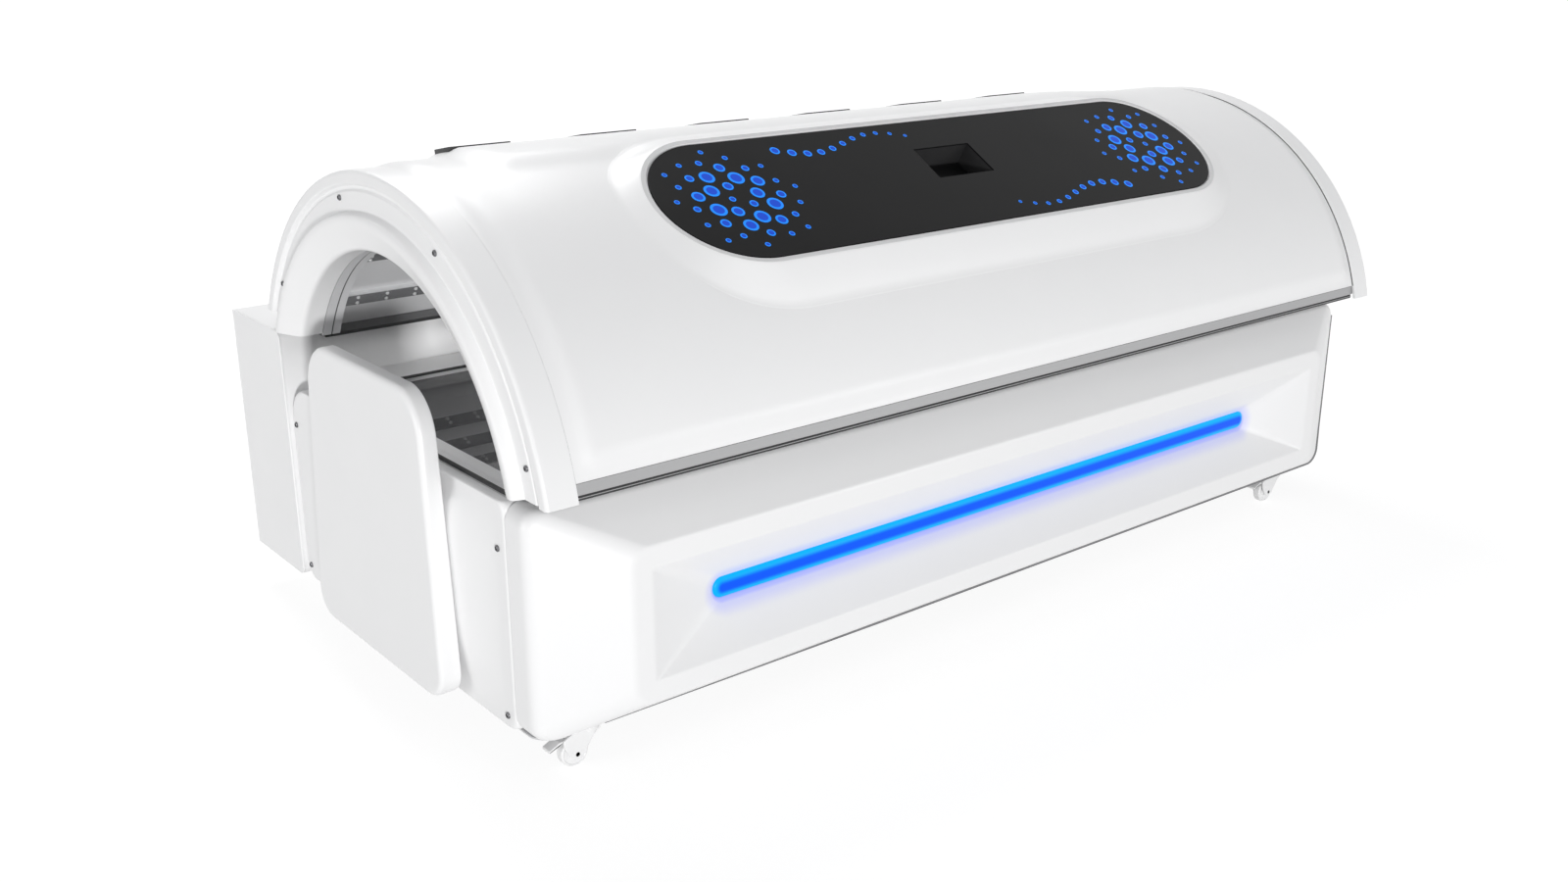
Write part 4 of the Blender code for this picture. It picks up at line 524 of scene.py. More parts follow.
rim_outer = (-1.0097, -0.3767, 1.0097, 0.4327, 0.004)
rim_hole = (-tub_half, -tub_wide, tub_half, tub_wide, 0.0012)
rim_wall, rim_deep, ledge_top, ledge_low = 0.005, 0.100, 0.0008, 0.0058
rim_back, rim_inner, ledge = drawn_in(rim_hole, -rim_wall), drawn_in(rim_outer, rim_wall), drawn_in(rim_hole, 0.012)
rim_rows = [level(rim_outer, rim_top - rim_deep), level(rim_outer, rim_top), level(rim_hole, rim_top),
            level(rim_hole, 0.0, ledge_top), level(ledge, 0.0, ledge_top), level(ledge, 0.0, ledge_low),
            level(rim_back, 0.0, ledge_low), level(rim_back, rim_top - rim_wall),
            level(rim_inner, rim_top - rim_wall), level(rim_inner, rim_top - rim_deep)]
rim_reach = [0.0006, 0.0010, 0.0030, 0.0008, 0.0010, 0.0010, 0.0010, 0.0010, 0.0010, 0.0006]
piece("bed_rim_moulding", [moulded(rim_rows, rim_reach, 4)], white_shell, "base", ("bed_rim",))

across = np.linspace(-tub_wide + 0.0005, tub_wide - 0.0005, 49)
along = np.array([-tub_half + 0.0005, tub_half - 0.0005])
grid_x, grid_y = np.meshgrid(along, across)
low_sheet = np.stack([grid_x, grid_y, dish(grid_y)], axis=-1)
piece("lying_sheet", [slab(low_sheet + (0.0, 0.0, 0.006), low_sheet)], smoked, "base", ("bed_clear_sheet",))

gasket_low, gasket_high = 0.4623, 0.4663
gasket_outer = (-1.035, -0.409, 1.035, 0.330, 0.060)
gasket_inner = drawn_in(gasket_outer, 0.008)
gasket_rows = [level(gasket_outer, gasket_low), level(gasket_outer, gasket_high), level(gasket_inner, gasket_high),
               level(gasket_inner, gasket_low)]
piece("rim_seal", [moulded(gasket_rows, [0.0004, 0.0017, 0.0017, 0.0004], 4)], rubber, "base",
      ("rim_gasket",))
rest_plan = eased([(-0.990, -0.389), (0.990, -0.389), (0.990, -0.374), (-0.990, -0.374)], 0.003, 4, ring=True)
piece("canopy_rest", [plate(rest_plan, gasket_low, 0.4897, 0.0025, "z")], rubber, "base",
      ("canopy_rest_strip",))

# Lamp strips of the bed: narrow boards on the tray, each with pairs of small clear lenses along it.
# The tray keeps its solid; boards are dark laminate and the lenses moulded clear domes.
board = finish("lamp_board_laminate", (0.13, 0.13, 0.135), (0.10, 0.10, 0.105), 0.38, 0.06, 0.0012, 0.10)
lens_clear = finish("lamp_lens", (0.86, 0.86, 0.86), (0.78, 0.78, 0.79), 0.12, 0.03, 0.0020, 0.02)


def lamp_lenses(places, out):
    """Small domes at every place, three rings and a top turned about the way out."""
    dome = 0.0042 * np.array([(1.0, -0.25), (0.92, 0.35), (0.55, 0.85), (0.02, 1.0)])
    return studs(dome, places, out, (1.0, 0.0, 0.0), 8)


dress(reflector, "bed_lamp_tray")
board_reach, board_half, board_tall, lens_off = 0.955, 0.014, 0.006, 0.0065
strip_y = np.linspace(-0.27, 0.27, 9)
slope = strip_y / np.sqrt(tub_curve ** 2 - strip_y ** 2)
up = np.stack([np.zeros(9), -slope, np.ones(9)], axis=1) / np.sqrt(1 + slope ** 2)[:, None]
over = np.stack([np.zeros(9), np.ones(9), slope], axis=1) / np.sqrt(1 + slope ** 2)[:, None]
middle = np.stack([np.zeros(9), strip_y, dish(strip_y) - 0.0412], axis=1)
section = np.array([(-board_half, 0.0), (board_half, 0.0), (board_half, board_tall), (-board_half, board_tall)])
boards = [skin(stations((centre + section[:, :1] * sideways + section[:, 1:] * rise)[:, 1:],
                        (-board_reach, board_reach)))
          for centre, rise, sideways in zip(middle, up, over)]
piece("bed_lamp_boards", boards, board, "base")
pitch_x = np.arange(-0.93, 0.931, 0.058)
sets = [(middle + up * board_tall + over * way * lens_off)[:, None] + pitch_x[:, None] * (1.0, 0.0, 0.0)
        for way in (-1, 1)]
spots = np.concatenate(sets, axis=1).reshape(-1, 3)
aim = np.repeat(up, 2 * len(pitch_x), axis=0)
piece("bed_lamp_lenses", [lamp_lenses(spots, aim)], lens_clear, "base")

# Hinge box: a long folded housing behind the bed, white like the rest, with a slot for each hinge arm and a
# flat end plate on either side; a slotted cover screwed to its back has a recessed mains inlet.
box_half, box_front, box_back, box_low, box_top = 1.063, 0.4333, 0.6573, 0.075, 0.563
slot_front, slot_back = 0.4398, 0.5710
wall, fold_round = 0.004, 0.016


def box_section(offset):
    """Folded sheet seen from the end: bottom, round fold, front, round fold, top, all drawn in by an offset.
    The upper fold breaks where the arm slots begin, and the top where they end."""
    radius = fold_round - offset
    centre_y = box_front + fold_round
    start = 180.0 - math.degrees(math.acos((centre_y - slot_front) / fold_round))
    low_turn = np.radians(np.linspace(270.0, 180.0, 9))
    high_turn = np.radians(np.concatenate([np.linspace(180.0, start, 6), np.linspace(start, 90.0, 5)[1:]]))
    low, high = [np.array([centre_y, z]) + radius * np.stack([np.cos(turn), np.sin(turn)], axis=1)
                 for z, turn in ((box_low + fold_round, low_turn), (box_top - fold_round, high_turn))]
    ends = np.array([(box_back, box_low + offset)])
    tops = np.array([(slot_back, box_top - offset), (box_back, box_top - offset)])
    return np.concatenate([ends, low, high, tops])


arm_x, arm_half = 0.75, 0.0095
box_x = np.array([-box_half + wall, -arm_x - arm_half, -arm_x + arm_half, arm_x - arm_half, arm_x + arm_half,
                  box_half - wall])
outer_fold = box_section(0.0)
outer_grid, inner_grid = [stations(box_section(offset), box_x).swapaxes(0, 1) for offset in (0.0, wall)]
keep = np.ones((len(outer_fold) - 1, len(box_x) - 1), bool)
keep[15:-1, [1, 3]] = False
piece("hinge_box_fold", [slab(outer_grid, inner_grid, keep)], white_shell, "base", ("hinge_box",))
end_plates = [plate(outer_fold, low, high, 0.0012, "x")
              for low, high in ((-box_half, -box_half + wall), (box_half - wall, box_half))]
piece("hinge_box_ends", end_plates, white_shell, "base", ("hinge_box",))

inlet_x, vent_mid = 0.92, 0.55
slot_off = 0.028 * (np.arange(6) - 2.5)
slot_x = np.array([[-vent_mid], [vent_mid]]) + slot_off
cover_x = np.sort(np.concatenate([[-box_half, box_half, inlet_x - 0.0243, inlet_x + 0.0243],
                                  (slot_x - 0.004).ravel(), (slot_x + 0.004).ravel()]))
cover_z = np.array([box_low, 0.1347, 0.1653, 0.255, 0.345, box_top])
cover_y = 0.6576
grid_x, grid_z = np.meshgrid(cover_x, cover_z)
centre_x = (cover_x[:-1] + cover_x[1:]) / 2
keep = np.ones((len(cover_z) - 1, len(cover_x) - 1), bool)
keep[3, np.abs(centre_x[:, None] - slot_x.ravel()).min(axis=1) < 0.003] = False
keep[1, np.abs(centre_x - inlet_x) < 0.003] = False
back_grid = np.stack([grid_x, np.full_like(grid_x, cover_y + wall), grid_z], axis=-1)
piece("rear_cover_sheet", [slab(back_grid, back_grid - (0.0, wall, 0.0), keep)], white_shell, "base",
      ("rear_cover",))
cover_screws = np.array([(x, cover_y + wall + 0.0004, z) for z in (0.100, 0.538) for x in np.linspace(-1.03, 1.03, 6)])
piece("rear_cover_screws", screws(cover_screws, (0.0, 1.0, 0.0), 0.0045), zinc, "base")
matt_black = finish("matt_black_plastic", (0.020, 0.020, 0.021), (0.030, 0.030, 0.031), 0.50, 0.06, 0.0007, 0.22)
brass = finish("plated_contact", (0.72, 0.66, 0.48), (0.62, 0.56, 0.42), 0.25, 0.05, 0.0010, 0.08, metallic=1.0)
dress(matt_black, "power_inlet")
pins = [plate(round_rect(x - 0.002, z - 0.004, x + 0.002, z + 0.004, 0.0015, 4), 0.6360, 0.6540, 0.0008, "y")
        for x, z in ((0.906, 0.148), (0.920, 0.154), (0.934, 0.148))]
piece("power_inlet_pins", pins, brass, "base")

# Hinges and gas struts: steel brackets and cranked arms with a powder coat, black strut barrels with bright
# ground rods. They sit inside the hinge box and keep their solids.
ground_steel = finish("ground_steel", (0.78, 0.78, 0.79), (0.66, 0.66, 0.68), 0.16, 0.05, 0.0014, 0.06,
                      stretch=(1.0, 1.0, 0.05), metallic=1.0)
for label in ("near", "far"):
    dress(powder_coat, "hinge_bracket_" + label, "hinge_arm_" + label)
    dress(matt_black, "strut_barrel_" + label)
    dress(ground_steel, "strut_rod_" + label)

# Canopy rails: extrusions along the canopy's two lower edges, satin aluminium at the front and black at the
# rear. They hold the shell outside and the clear sheet inside; black rubber in two grooves of the front one's foot
# is painted shade of the dark gap under it.
axis_z = 0.383
shell_half = 1.0067


def at_height(radius, height):
    """Distance from the canopy's middle plane at which an arc of this radius has this height."""
    return np.sqrt(radius ** 2 - (height - axis_z) ** 2)


def extrusion(section, reach, edge=0.0009):
    """Section in y and z with eased corners, drawn out along the bed to both sides."""
    return skin(stations(eased(section, edge, 3, ring=True), (-reach, reach)))


front_low, lip_top, shell_low = 0.490, 0.5195, 0.5165
rail_top, lip_radius = shell_low - 0.0006, 0.39525
outer_low = -at_height(0.5155, front_low)
outer_high = -at_height(0.51825, rail_top)
lip = -at_height(lip_radius, lip_top)


def rail_face(z, inward=0.0):
    """Place of the front rail's leaning outer face at a height, less a depth into it."""
    return outer_low + (outer_high - outer_low) * (z - front_low) / (rail_top - front_low) + inward


groove = 0.0045
front_section = [(rail_face(front_low, groove), front_low), (lip, front_low), (lip, lip_top), (lip - 0.015, lip_top),
                 (lip - 0.015, front_low + 0.0095), (outer_high + 0.0055, front_low + 0.0095),
                 (outer_high + 0.0055, rail_top), (outer_high, rail_top)]
front_section += [(rail_face(z, inward), z) for z, inward in (
    (0.4985, 0.0), (0.4985, groove), (0.4950, groove), (0.4950, 0.0003), (0.4938, 0.0003), (0.4938, groove))]
satin = finish("satin_anodised", (0.42, 0.42, 0.425), (0.37, 0.37, 0.375), 0.38, 0.06, 0.0016, 0.10,
               stretch=(0.03, 1.0, 1.0), metallic=0.10)
piece("front_rail_extrusion", [extrusion(front_section, shell_half, 0.0005)], satin, "canopy",
      ("canopy_front_rail",))
# Black strips in the foot's grooves: painted shade of the gap under the rail.
rail_shade_strips = [extrusion([(rail_face(z, inward), z) for z, inward in
                         ((low, 0.0022), (low, 0.0043), (high, 0.0043), (high, 0.0022))], shell_half - 0.0005, 0.0003)
              for low, high in ((0.4903, 0.4935), (0.4953, 0.4982))]
piece("front_rail_seals", rail_shade_strips, rubber, "canopy")
rear_back, rear_low, rear_top, shelf = 0.423, 0.560, 0.6039, 0.594
rear_edge = at_height(0.521, rear_top)
nose_top = rear_low + 0.006
nose = at_height(lip_radius, nose_top)
rear_section = [(nose, rear_low), (rear_back, rear_low), (rear_back, shelf), (rear_edge, shelf),
                (rear_edge, rear_top), (rear_back - 0.0055, rear_top), (rear_back - 0.0055, nose_top),
                (nose, nose_top)]
piece("rear_rail_extrusion", [extrusion(rear_section, shell_half)], matt_black, "canopy",
      ("canopy_rear_rail",))

# Canopy lining: a folded reflector with nine lamp boards along it, pairs of lenses on each board, and a bent
# clear sheet on the inside that keeps hands off the lamps. Grey bands and a seal edge the sheet at both ends.
liner_out, liner_in, strip_tall = 0.448, 0.446, 0.008
turn_rear = math.asin((rear_low + 0.0068 - axis_z) / liner_in)
turn_front = math.pi - math.asin((front_low + 0.0085 - axis_z) / liner_in)
strip_pitch = (turn_front - turn_rear) / 9
strip_mid = turn_rear + strip_pitch * (np.arange(9) + 0.5)
strip_half = 0.015 / liner_in


def on_arc(radius, turn):
    """Points in y and z at a radius and turn about the canopy's axis; a quarter turn is the top."""
    return np.stack([radius * np.cos(turn), axis_z + radius * np.sin(turn)], axis=-1)


def wrapped(x, radius, turn):
    """Points at a place along the bed, a radius and a turn about the canopy's axis."""
    return np.stack(np.broadcast_arrays(x, radius * np.cos(turn), axis_z + radius * np.sin(turn)), axis=-1)


inside = np.concatenate([[turn_rear], np.ravel(strip_mid[:, None] + strip_half * np.array([-1, -1, 1, 1])),
                         [turn_front]])
inside_radius = np.concatenate([[liner_in], np.tile([0.0, -strip_tall, -strip_tall, 0.0], 9) + liner_in, [liner_in]])
fold = np.concatenate([on_arc(liner_out, np.linspace(turn_rear, turn_front, 60)),
                       on_arc(inside_radius, inside)[::-1]])
lining = skin(stations(fold, (-1.0047, 1.0047)))
piece("canopy_reflector", [lining], reflector, "canopy", ("canopy_lamp_liner",), sharp=20.0)
face = liner_in - strip_tall
spot_turn = (strip_mid[:, None] + np.array([-lens_off, lens_off]) / face).ravel()
spots = wrapped(pitch_x[:, None], face, spot_turn).reshape(-1, 3)
aim = -np.column_stack([np.zeros(len(spot_turn)), np.cos(spot_turn), np.sin(spot_turn)])
piece("canopy_lamp_lenses", [lamp_lenses(spots, np.tile(aim, (len(pitch_x), 1)))], lens_clear, "canopy")
board_turn = 0.0115 / face * np.array([-1, 1, 1, -1])
board_radius = face + np.array([0.0004, 0.0004, -0.0012, -0.0012])
boards = [skin(stations(on_arc(board_radius, turn + board_turn), (-board_reach, board_reach))) for turn in strip_mid]
piece("canopy_lamp_boards", boards, board, "canopy")
clear_sheet = clear("clear_acrylic", (0.55, 0.56, 0.57), 0.10, 0.05)
sheet_outer, sheet_inner = 0.402, 0.398
sheet_rear = math.asin((rear_low + 0.0063 - axis_z) / sheet_inner)
sheet_front = math.pi - math.asin((lip_top + 0.0003 - axis_z) / sheet_inner)
sheet_turn = np.linspace(sheet_rear, sheet_front, 73)
sheet_ends = np.array([[-1.0127], [1.0127]])
piece("canopy_sheet", [slab(*(wrapped(sheet_ends, radius, sheet_turn) for radius in (sheet_outer, sheet_inner)))],
      clear_sheet, "canopy", ("canopy_clear_sheet",))
edge_grey = finish("grey_edge_band", (0.66, 0.66, 0.67), (0.60, 0.60, 0.61), 0.40, 0.05, 0.0012, 0.08)
band_top = sheet_inner - 0.0003


def edge_band(x0, x1, low):
    """Flat band bent along the inside of the sheet, between two places along the bed and down to a radius."""
    return skin(wrapped(np.array([x0, x1, x1, x0]), np.array([low, low, band_top, band_top]), sheet_turn[:, None]))


bands = [edge_band(side * a, side * b, 0.3945) for side in (-1, 1) for a, b in ((0.978, 0.9925), (0.995, 1.0115))]
piece("canopy_sheet_bands", bands, edge_grey, "canopy")
piece("canopy_sheet_seals", [edge_band(side * 0.9927, side * 0.9948, 0.3952) for side in (-1, 1)], rubber,
      "canopy")

# End rings: a deep white moulded arch at each open end: an outer band, a stepped face with four socket screws
# and a broad rounded roll that runs in to the bore.
ring_rows = np.array([
    (0.5250, 1.0070, 0.0008), (0.5250, 1.0610, 0.0070), (0.5040, 1.0610, 0.0018), (0.4995, 1.0530, 0.0012),
    (0.4945, 1.0530, 0.0012), (0.4905, 1.0570, 0.0014), (0.4595, 1.0570, 0.0022), (0.4535, 1.0757, 0.0055),
    (0.4405, 1.0757, 0.0100), (0.3940, 1.0535, 0.0080), (0.3940, 1.0130, 0.0010), (0.4000, 1.0130, 0.0010),
    (0.4000, 1.0480, 0.0020), (0.4430, 1.0640, 0.0040), (0.4580, 1.0470, 0.0040), (0.5190, 1.0460, 0.0030),
    (0.5190, 1.0070, 0.0008)])
ring_section = eased(ring_rows[:, :2], ring_rows[:, 2], 6, ring=True)
radius, out = ring_section[:, 0], ring_section[:, 1]
rear_foot = np.where(radius <= 0.4568, 0.570, 0.598)
start = np.arcsin((rear_foot - axis_z) / radius)
end = math.pi - np.arcsin((front_low - axis_z) / radius)
share = np.linspace(0.0, 1.0, 97)[:, None]
turn = start + (end - start) * share
for side, label in ((-1.0, "near"), (1.0, "far")):
    loops = wrapped(side * out, radius, turn)
    piece("end_ring_moulding_" + label, [skin(loops)], white_shell, "canopy", ("end_ring_" + label,))
    heads = wrapped(side * 1.0574, 0.4830, np.radians([35.0, 77.0, 117.0, 161.0]))
    piece("end_ring_screws_" + label, screws(heads, (side, 0.0, 0.0), 0.0052), zinc, "canopy")

# Canopy shell: one large white gloss moulding between the rings. Its radius follows place: a low border, the
# field, and a long crest towards the rear that carries the vents. A dark seam parts it from either ring.
border, field, crest_top = 0.521, 0.530, 0.543
boss_plane, panel_turn, panel_v = 0.5308, math.radians(120.77), -0.0053
panel_half, panel_wide = 0.684, 0.1474
boss_margin, boss_flank, boss_bend = 0.013, 0.085, 0.24
shell_wall = 0.005
screen_half, screen_tall, screen_v = 0.0715, 0.0425, -0.0310
shell_front = math.pi - math.asin((shell_low - axis_z) / (border - shell_wall))
shell_rear = math.asin((0.6045 - axis_z) / (border - shell_wall))
edge_flat, edge_run = 0.006, 0.032
crest_near, near_run, crest_far, far_run = 0.898, 0.046, 0.870, 0.330
crest_rear, rear_run, crest_front, front_run = 75.5, 4.5, 96.0, 7.0


def ease(t):
    """Smooth step from 0 to 1."""
    t = np.clip(t, 0.0, 1.0)
    return t * t * (3.0 - 2.0 * t)


def shell_radius(x, turn):
    """Outer radius: the border, plus the field's rise away from the edges, plus the crest's, which smooth steps
    bring on from both ends along the bed, in metres, and take off to both sides, in degrees."""
    inward = field * (shell_front - turn)
    rise = ease((shell_half - np.abs(x) - edge_flat) / edge_run) * ease((inward - edge_flat) / edge_run)
    degrees = np.degrees(turn)
    crest = ease((crest_near + x) / near_run) * ease((crest_far - x) / far_run)
    crest = crest * (1.0 - ease((crest_rear - degrees) / rear_run)) * (1.0 - ease((degrees - crest_front) / front_run))
    return border + (field - border) * rise + (crest_top - field) * crest


def ruled(breaks, step):
    """Sorted breaks with equal steps of about the given size between each and the next."""
    breaks = np.unique(np.round(breaks, 6))
    parts = [np.linspace(low, high, max(int(math.ceil((high - low) / step)), 1) + 1)[:-1]
             for low, high in zip(breaks, breaks[1:])]
    return np.concatenate(parts + [breaks[-1:]])


vent_x = -0.8140 + 0.26 * np.arange(6)
vent_turn = math.radians(79.1)
vent_open, vent_cut, window_half = math.asin(0.0278 / 0.545), 0.0600, 0.0756
window_turn = panel_turn + np.arctan((screen_v + 0.0466 * np.array([-1.0, 1.0])) / boss_plane)
breaks = [[-shell_half, shell_half, -window_half, window_half], vent_x - vent_cut, vent_x + vent_cut]
xs = ruled(np.concatenate(breaks), 0.010)
turns = ruled([shell_rear, vent_turn - vent_open, vent_turn + vent_open, *window_turn, shell_front], 0.018)
grid_turn, grid_x = np.meshgrid(turns, xs, indexing="ij")
grid_radius = shell_radius(grid_x, grid_turn)
cell_turn = (turns[:-1] + turns[1:])[:, None] / 2
cell_x = (xs[:-1] + xs[1:])[None, :] / 2
near_vent = np.abs(cell_x[..., None] - vent_x).min(axis=-1) < vent_cut
vents_cut = (np.abs(cell_turn - vent_turn) < vent_open) & near_vent
window_cut = (cell_turn > window_turn[0]) & (cell_turn < window_turn[1]) & (np.abs(cell_x) < window_half)
shell_skin = slab(wrapped(grid_x, grid_radius, grid_turn), wrapped(grid_x, grid_radius - shell_wall, grid_turn),
                  ~(vents_cut | window_cut))
piece("canopy_cover_moulding", [shell_skin], white_shell, "canopy", ("canopy_shell",))
seam_turn = np.linspace(shell_rear, shell_front, 97)[:, None]
seam_radius = np.array([0.5200, 0.5200, 0.5223, 0.5223])
seams = [skin(wrapped(side * np.array([1.0056, 1.0068, 1.0068, 1.0056]), seam_radius, seam_turn)) for side in (-1, 1)]
piece("canopy_end_seams", seams, rubber, "canopy")

# Panel boss: the part of the same moulding that is cut off flat for the panel. A flat rim with a crisp edge runs
# round the panel, and a straight flank falls from it and runs out in the field. A pale grey band is coloured on the
# rim.
rim_plane = boss_plane + 0.0040


def oval_loop(along, across=None):
    """Outline of the panel let out by an amount along the bed and across it, in place along the bed and up the
    slope: two half circles about the ends of a straight middle."""
    across = along if across is None else across
    return round_rect(-panel_half - along, panel_v - panel_wide - across, panel_half + along,
                      panel_v + panel_wide + across, panel_wide + across - 0.00005, steps=28)


def window_loop(grow):
    """Outline of the display window let out by an amount, with as many points as the panel's."""
    return round_rect(-screen_half - grow, screen_v - screen_tall - grow, screen_half + grow,
                      screen_v + screen_tall + grow, 0.0012, steps=28)


def on_flat(turn, u, v, w):
    """Points of a flat square to the radius at a turn: along the bed, up the front slope, out from the axis."""
    return np.stack(np.broadcast_arrays(u, w * math.cos(turn) - v * math.sin(turn),
                                        axis_z + w * math.sin(turn) + v * math.cos(turn)), axis=-1)


def on_slope(flat, w):
    """Points of the panel's flat at a level out from the axis."""
    return on_flat(panel_turn, flat[..., 0], flat[..., 1], w)


def boss_loop(out, lower=0.0):
    """Loop of the flank at a share out from the rim's edge: the shell's own radius there, plus the edge's height
    over it less a straight fall that bends into the field over the last quarter."""
    edge = oval_loop(boss_margin)
    edge_turn = panel_turn + np.arctan(edge[:, 1] / rim_plane)
    height = np.hypot(rim_plane, edge[:, 1]) - shell_radius(edge[:, 0], edge_turn)
    flat = oval_loop(boss_margin + 0.55 * boss_flank * out, boss_margin + boss_flank * out)
    turn = panel_turn + np.arctan(flat[:, 1] / rim_plane)
    left = 1.0 - min(out, 1.0)
    fall = left * left / (2 * boss_bend) if left < boss_bend else left - boss_bend / 2
    fall /= 1.0 - boss_bend / 2
    return wrapped(flat[:, 0], shell_radius(flat[:, 0], turn) + height * fall - lower, turn)


shares = np.linspace(0.0, 1.0, 9)[:, None, None]
window_edge, panel_seat = window_loop(0.0042), oval_loop(0.0030)
inner_flat = window_edge + (panel_seat - window_edge) * shares
corner = eased([on_slope(panel_seat, boss_plane), on_slope(oval_loop(0.0033), rim_plane), boss_loop(0.0),
                boss_loop(0.10)], [0.0004, 0.0008, 0.0024, 0.001], 5)
flank = [boss_loop(out) for out in np.linspace(0.12, 1.0, 24)]
boss_top = [on_slope(loop, boss_plane) for loop in inner_flat[:-1]] + list(corner) + flank
boss_under = [boss_loop(1.03, 0.0015), boss_loop(0.9, 0.0040), boss_loop(0.0, 0.0045),
              on_slope(window_edge, boss_plane - 0.0045), on_slope(window_edge, boss_plane - 0.001)]
piece("canopy_boss_moulding", [skin(np.stack(boss_top + boss_under), ring=True)], white_shell, "canopy",
      ("canopy_shell",), sharp=50.0)
pale_grey = finish("pale_grey_trim", (0.66, 0.66, 0.665), (0.62, 0.62, 0.625), 0.40, 0.05, 0.0030, 0.03)
rim_band_rows = [on_slope(oval_loop(grow), rim_plane + rise)
             for grow, rise in ((0.0036, -0.0005), (0.0036, 0.0005), (0.0120, 0.0005), (0.0120, -0.0005))]
piece("panel_rim_trim", [moulded(rim_band_rows, 0.0003, 3)], pale_grey, "canopy")

# Control panel: a flat oval of black acrylic on the boss, with a thin grey bead round its rim, a pattern of lit
# blue rings at both ends, and a deep-set display behind a window.
gloss_black = finish("gloss_black_acrylic", (0.009, 0.009, 0.0095), (0.011, 0.011, 0.0115), 0.34, 0.05, 0.0060, 0.02)
gloss_black.node_tree.nodes["Principled BSDF"].inputs["Specular IOR Level"].default_value = 0.06
grey_bead = finish("grey_bead", (0.60, 0.60, 0.61), (0.54, 0.54, 0.55), 0.45, 0.05, 0.0010, 0.10)
panel_low, panel_high = boss_plane + 0.0005, boss_plane + 0.0035
panel_rows = [on_slope(oval_loop(0.0), panel_low), on_slope(oval_loop(0.0), panel_high),
              on_slope(window_loop(0.0), panel_high), on_slope(window_loop(0.0), panel_low)]
piece("control_panel_sheet", [moulded(panel_rows, [0.0004, 0.0012, 0.0008, 0.0004], 4)], gloss_black, "canopy",
      ("control_panel",))
bead_turn = np.linspace(0.0, 2 * math.pi, 12, endpoint=False)
bead = np.stack([on_slope(oval_loop(0.0016 + 0.0013 * math.cos(a)), panel_low + 0.0006 + 0.0013 * math.sin(a))
                 for a in bead_turn])
piece("control_panel_bead", [skin(bead, ring=True)], grey_bead, "canopy")

blue_rings = glow("blue_lit_rings", (0.005, 0.26, 1.0), (0.002, 0.055, 0.55))
count = np.arange(40)
swirl = 0.0207 * np.sqrt(count + 0.5)
swirl_turn = math.radians(137.508) * count
swirl_size = 0.0050 + 0.0105 * np.exp(-((swirl - 0.058) / 0.030) ** 2)
tail = np.arange(11)
tail_u = 0.375 - 0.0315 * tail
tail_v = -0.108 + 0.018 * np.sin(0.62 * tail)
tail_size = 0.0096 - 0.00058 * tail
ring_u = np.concatenate([0.525 + swirl * np.cos(swirl_turn), tail_u])
ring_v = np.concatenate([swirl * np.sin(swirl_turn), tail_v]) + panel_v
ring_size = np.concatenate([swirl_size, tail_size])
both_u = np.concatenate([-ring_u, ring_u])
both_v = np.concatenate([ring_v, 2 * panel_v - ring_v])
both_r = np.concatenate([ring_size, ring_size])
gap = np.hypot(np.maximum(np.abs(both_u) - (panel_half - panel_wide), 0.0), both_v - panel_v) + both_r
fits = gap < panel_wide - 0.016
both_u, both_v, both_r = both_u[fits], both_v[fits], both_r[fits]
disc_turn = np.linspace(0.0, 2 * math.pi, 20, endpoint=False)
disc_size = np.array([1.0, 1.0, 0.74, 0.60, 0.02])
disc_rise = np.array([-0.0003, 0.0002, 0.0003, 0.0003, 0.0003])
size = both_r[:, None, None] * disc_size[None, :, None]
disc_flat = np.stack([both_u[:, None, None] + size * np.cos(disc_turn),
                      both_v[:, None, None] + size * np.sin(disc_turn)], axis=-1)
discs = on_slope(disc_flat, (panel_high + disc_rise)[None, :, None])
disc_core = np.broadcast_to(np.array([0.0, 0.0, 0.15, 1.0, 1.0])[None, :, None], discs.shape[:3])
piece("control_panel_rings", [repeated(discs)], blue_rings, "canopy", values={"core": disc_core})
dress(matt_black, "display_pocket")
dress(gloss_black, "display_screen")

# Vents and fans: six black moulded grilles let into the crest, each a frame with leaning slats, and under them
# a folded channel with six small axial fans.
vent_half, vent_border, vent_low, vent_top = 0.0597, 0.006, 0.5250, 0.5446
vent_plan = (-vent_half, -0.0275, vent_half, 0.0275, 0.003)


def vent_loop(x, amount, w):
    """Grille outline about a place along the bed, drawn in by an amount, at a level out from the axis."""
    flat = round_rect(*drawn_in(vent_plan, amount), steps=5)
    return on_flat(vent_turn, flat[:, 0] + x, flat[:, 1], w)


bar = np.array([(-0.002, -0.0217), (0.002, -0.0217), (0.002, 0.0217), (-0.002, 0.0217)])
for k, x in enumerate(vent_x):
    vent_frame = [vent_loop(x, 0.0, vent_low), vent_loop(x, 0.0, vent_top), vent_loop(x, vent_border, vent_top),
                  vent_loop(x, vent_border, vent_low)]
    grille = [moulded(vent_frame, [0.0006, 0.0016, 0.0012, 0.0006], 4)]
    for v in np.linspace(-0.0180, 0.0180, 6):
        slat = eased([(v - 0.0035, 0.5431), (v - 0.0015, 0.5438), (v + 0.0040, 0.5306), (v + 0.0020, 0.5298)], 0.0005,
                     2, ring=True)
        grille.append(skin([on_flat(vent_turn, x + u, slat[:, 0], slat[:, 1]) for u in (-0.0539, 0.0539)]))
    grille.append(skin([on_flat(vent_turn, x + bar[:, 0], bar[:, 1], w) for w in (0.5276, 0.5428)]))
    piece(f"vent_grille_moulding_{k + 1}", grille, matt_black, "canopy", (f"vent_grille_{k + 1}",))
    dress(matt_black, f"fan_rotor_{k + 1}")
dress(powder_coat, "fan_channel")

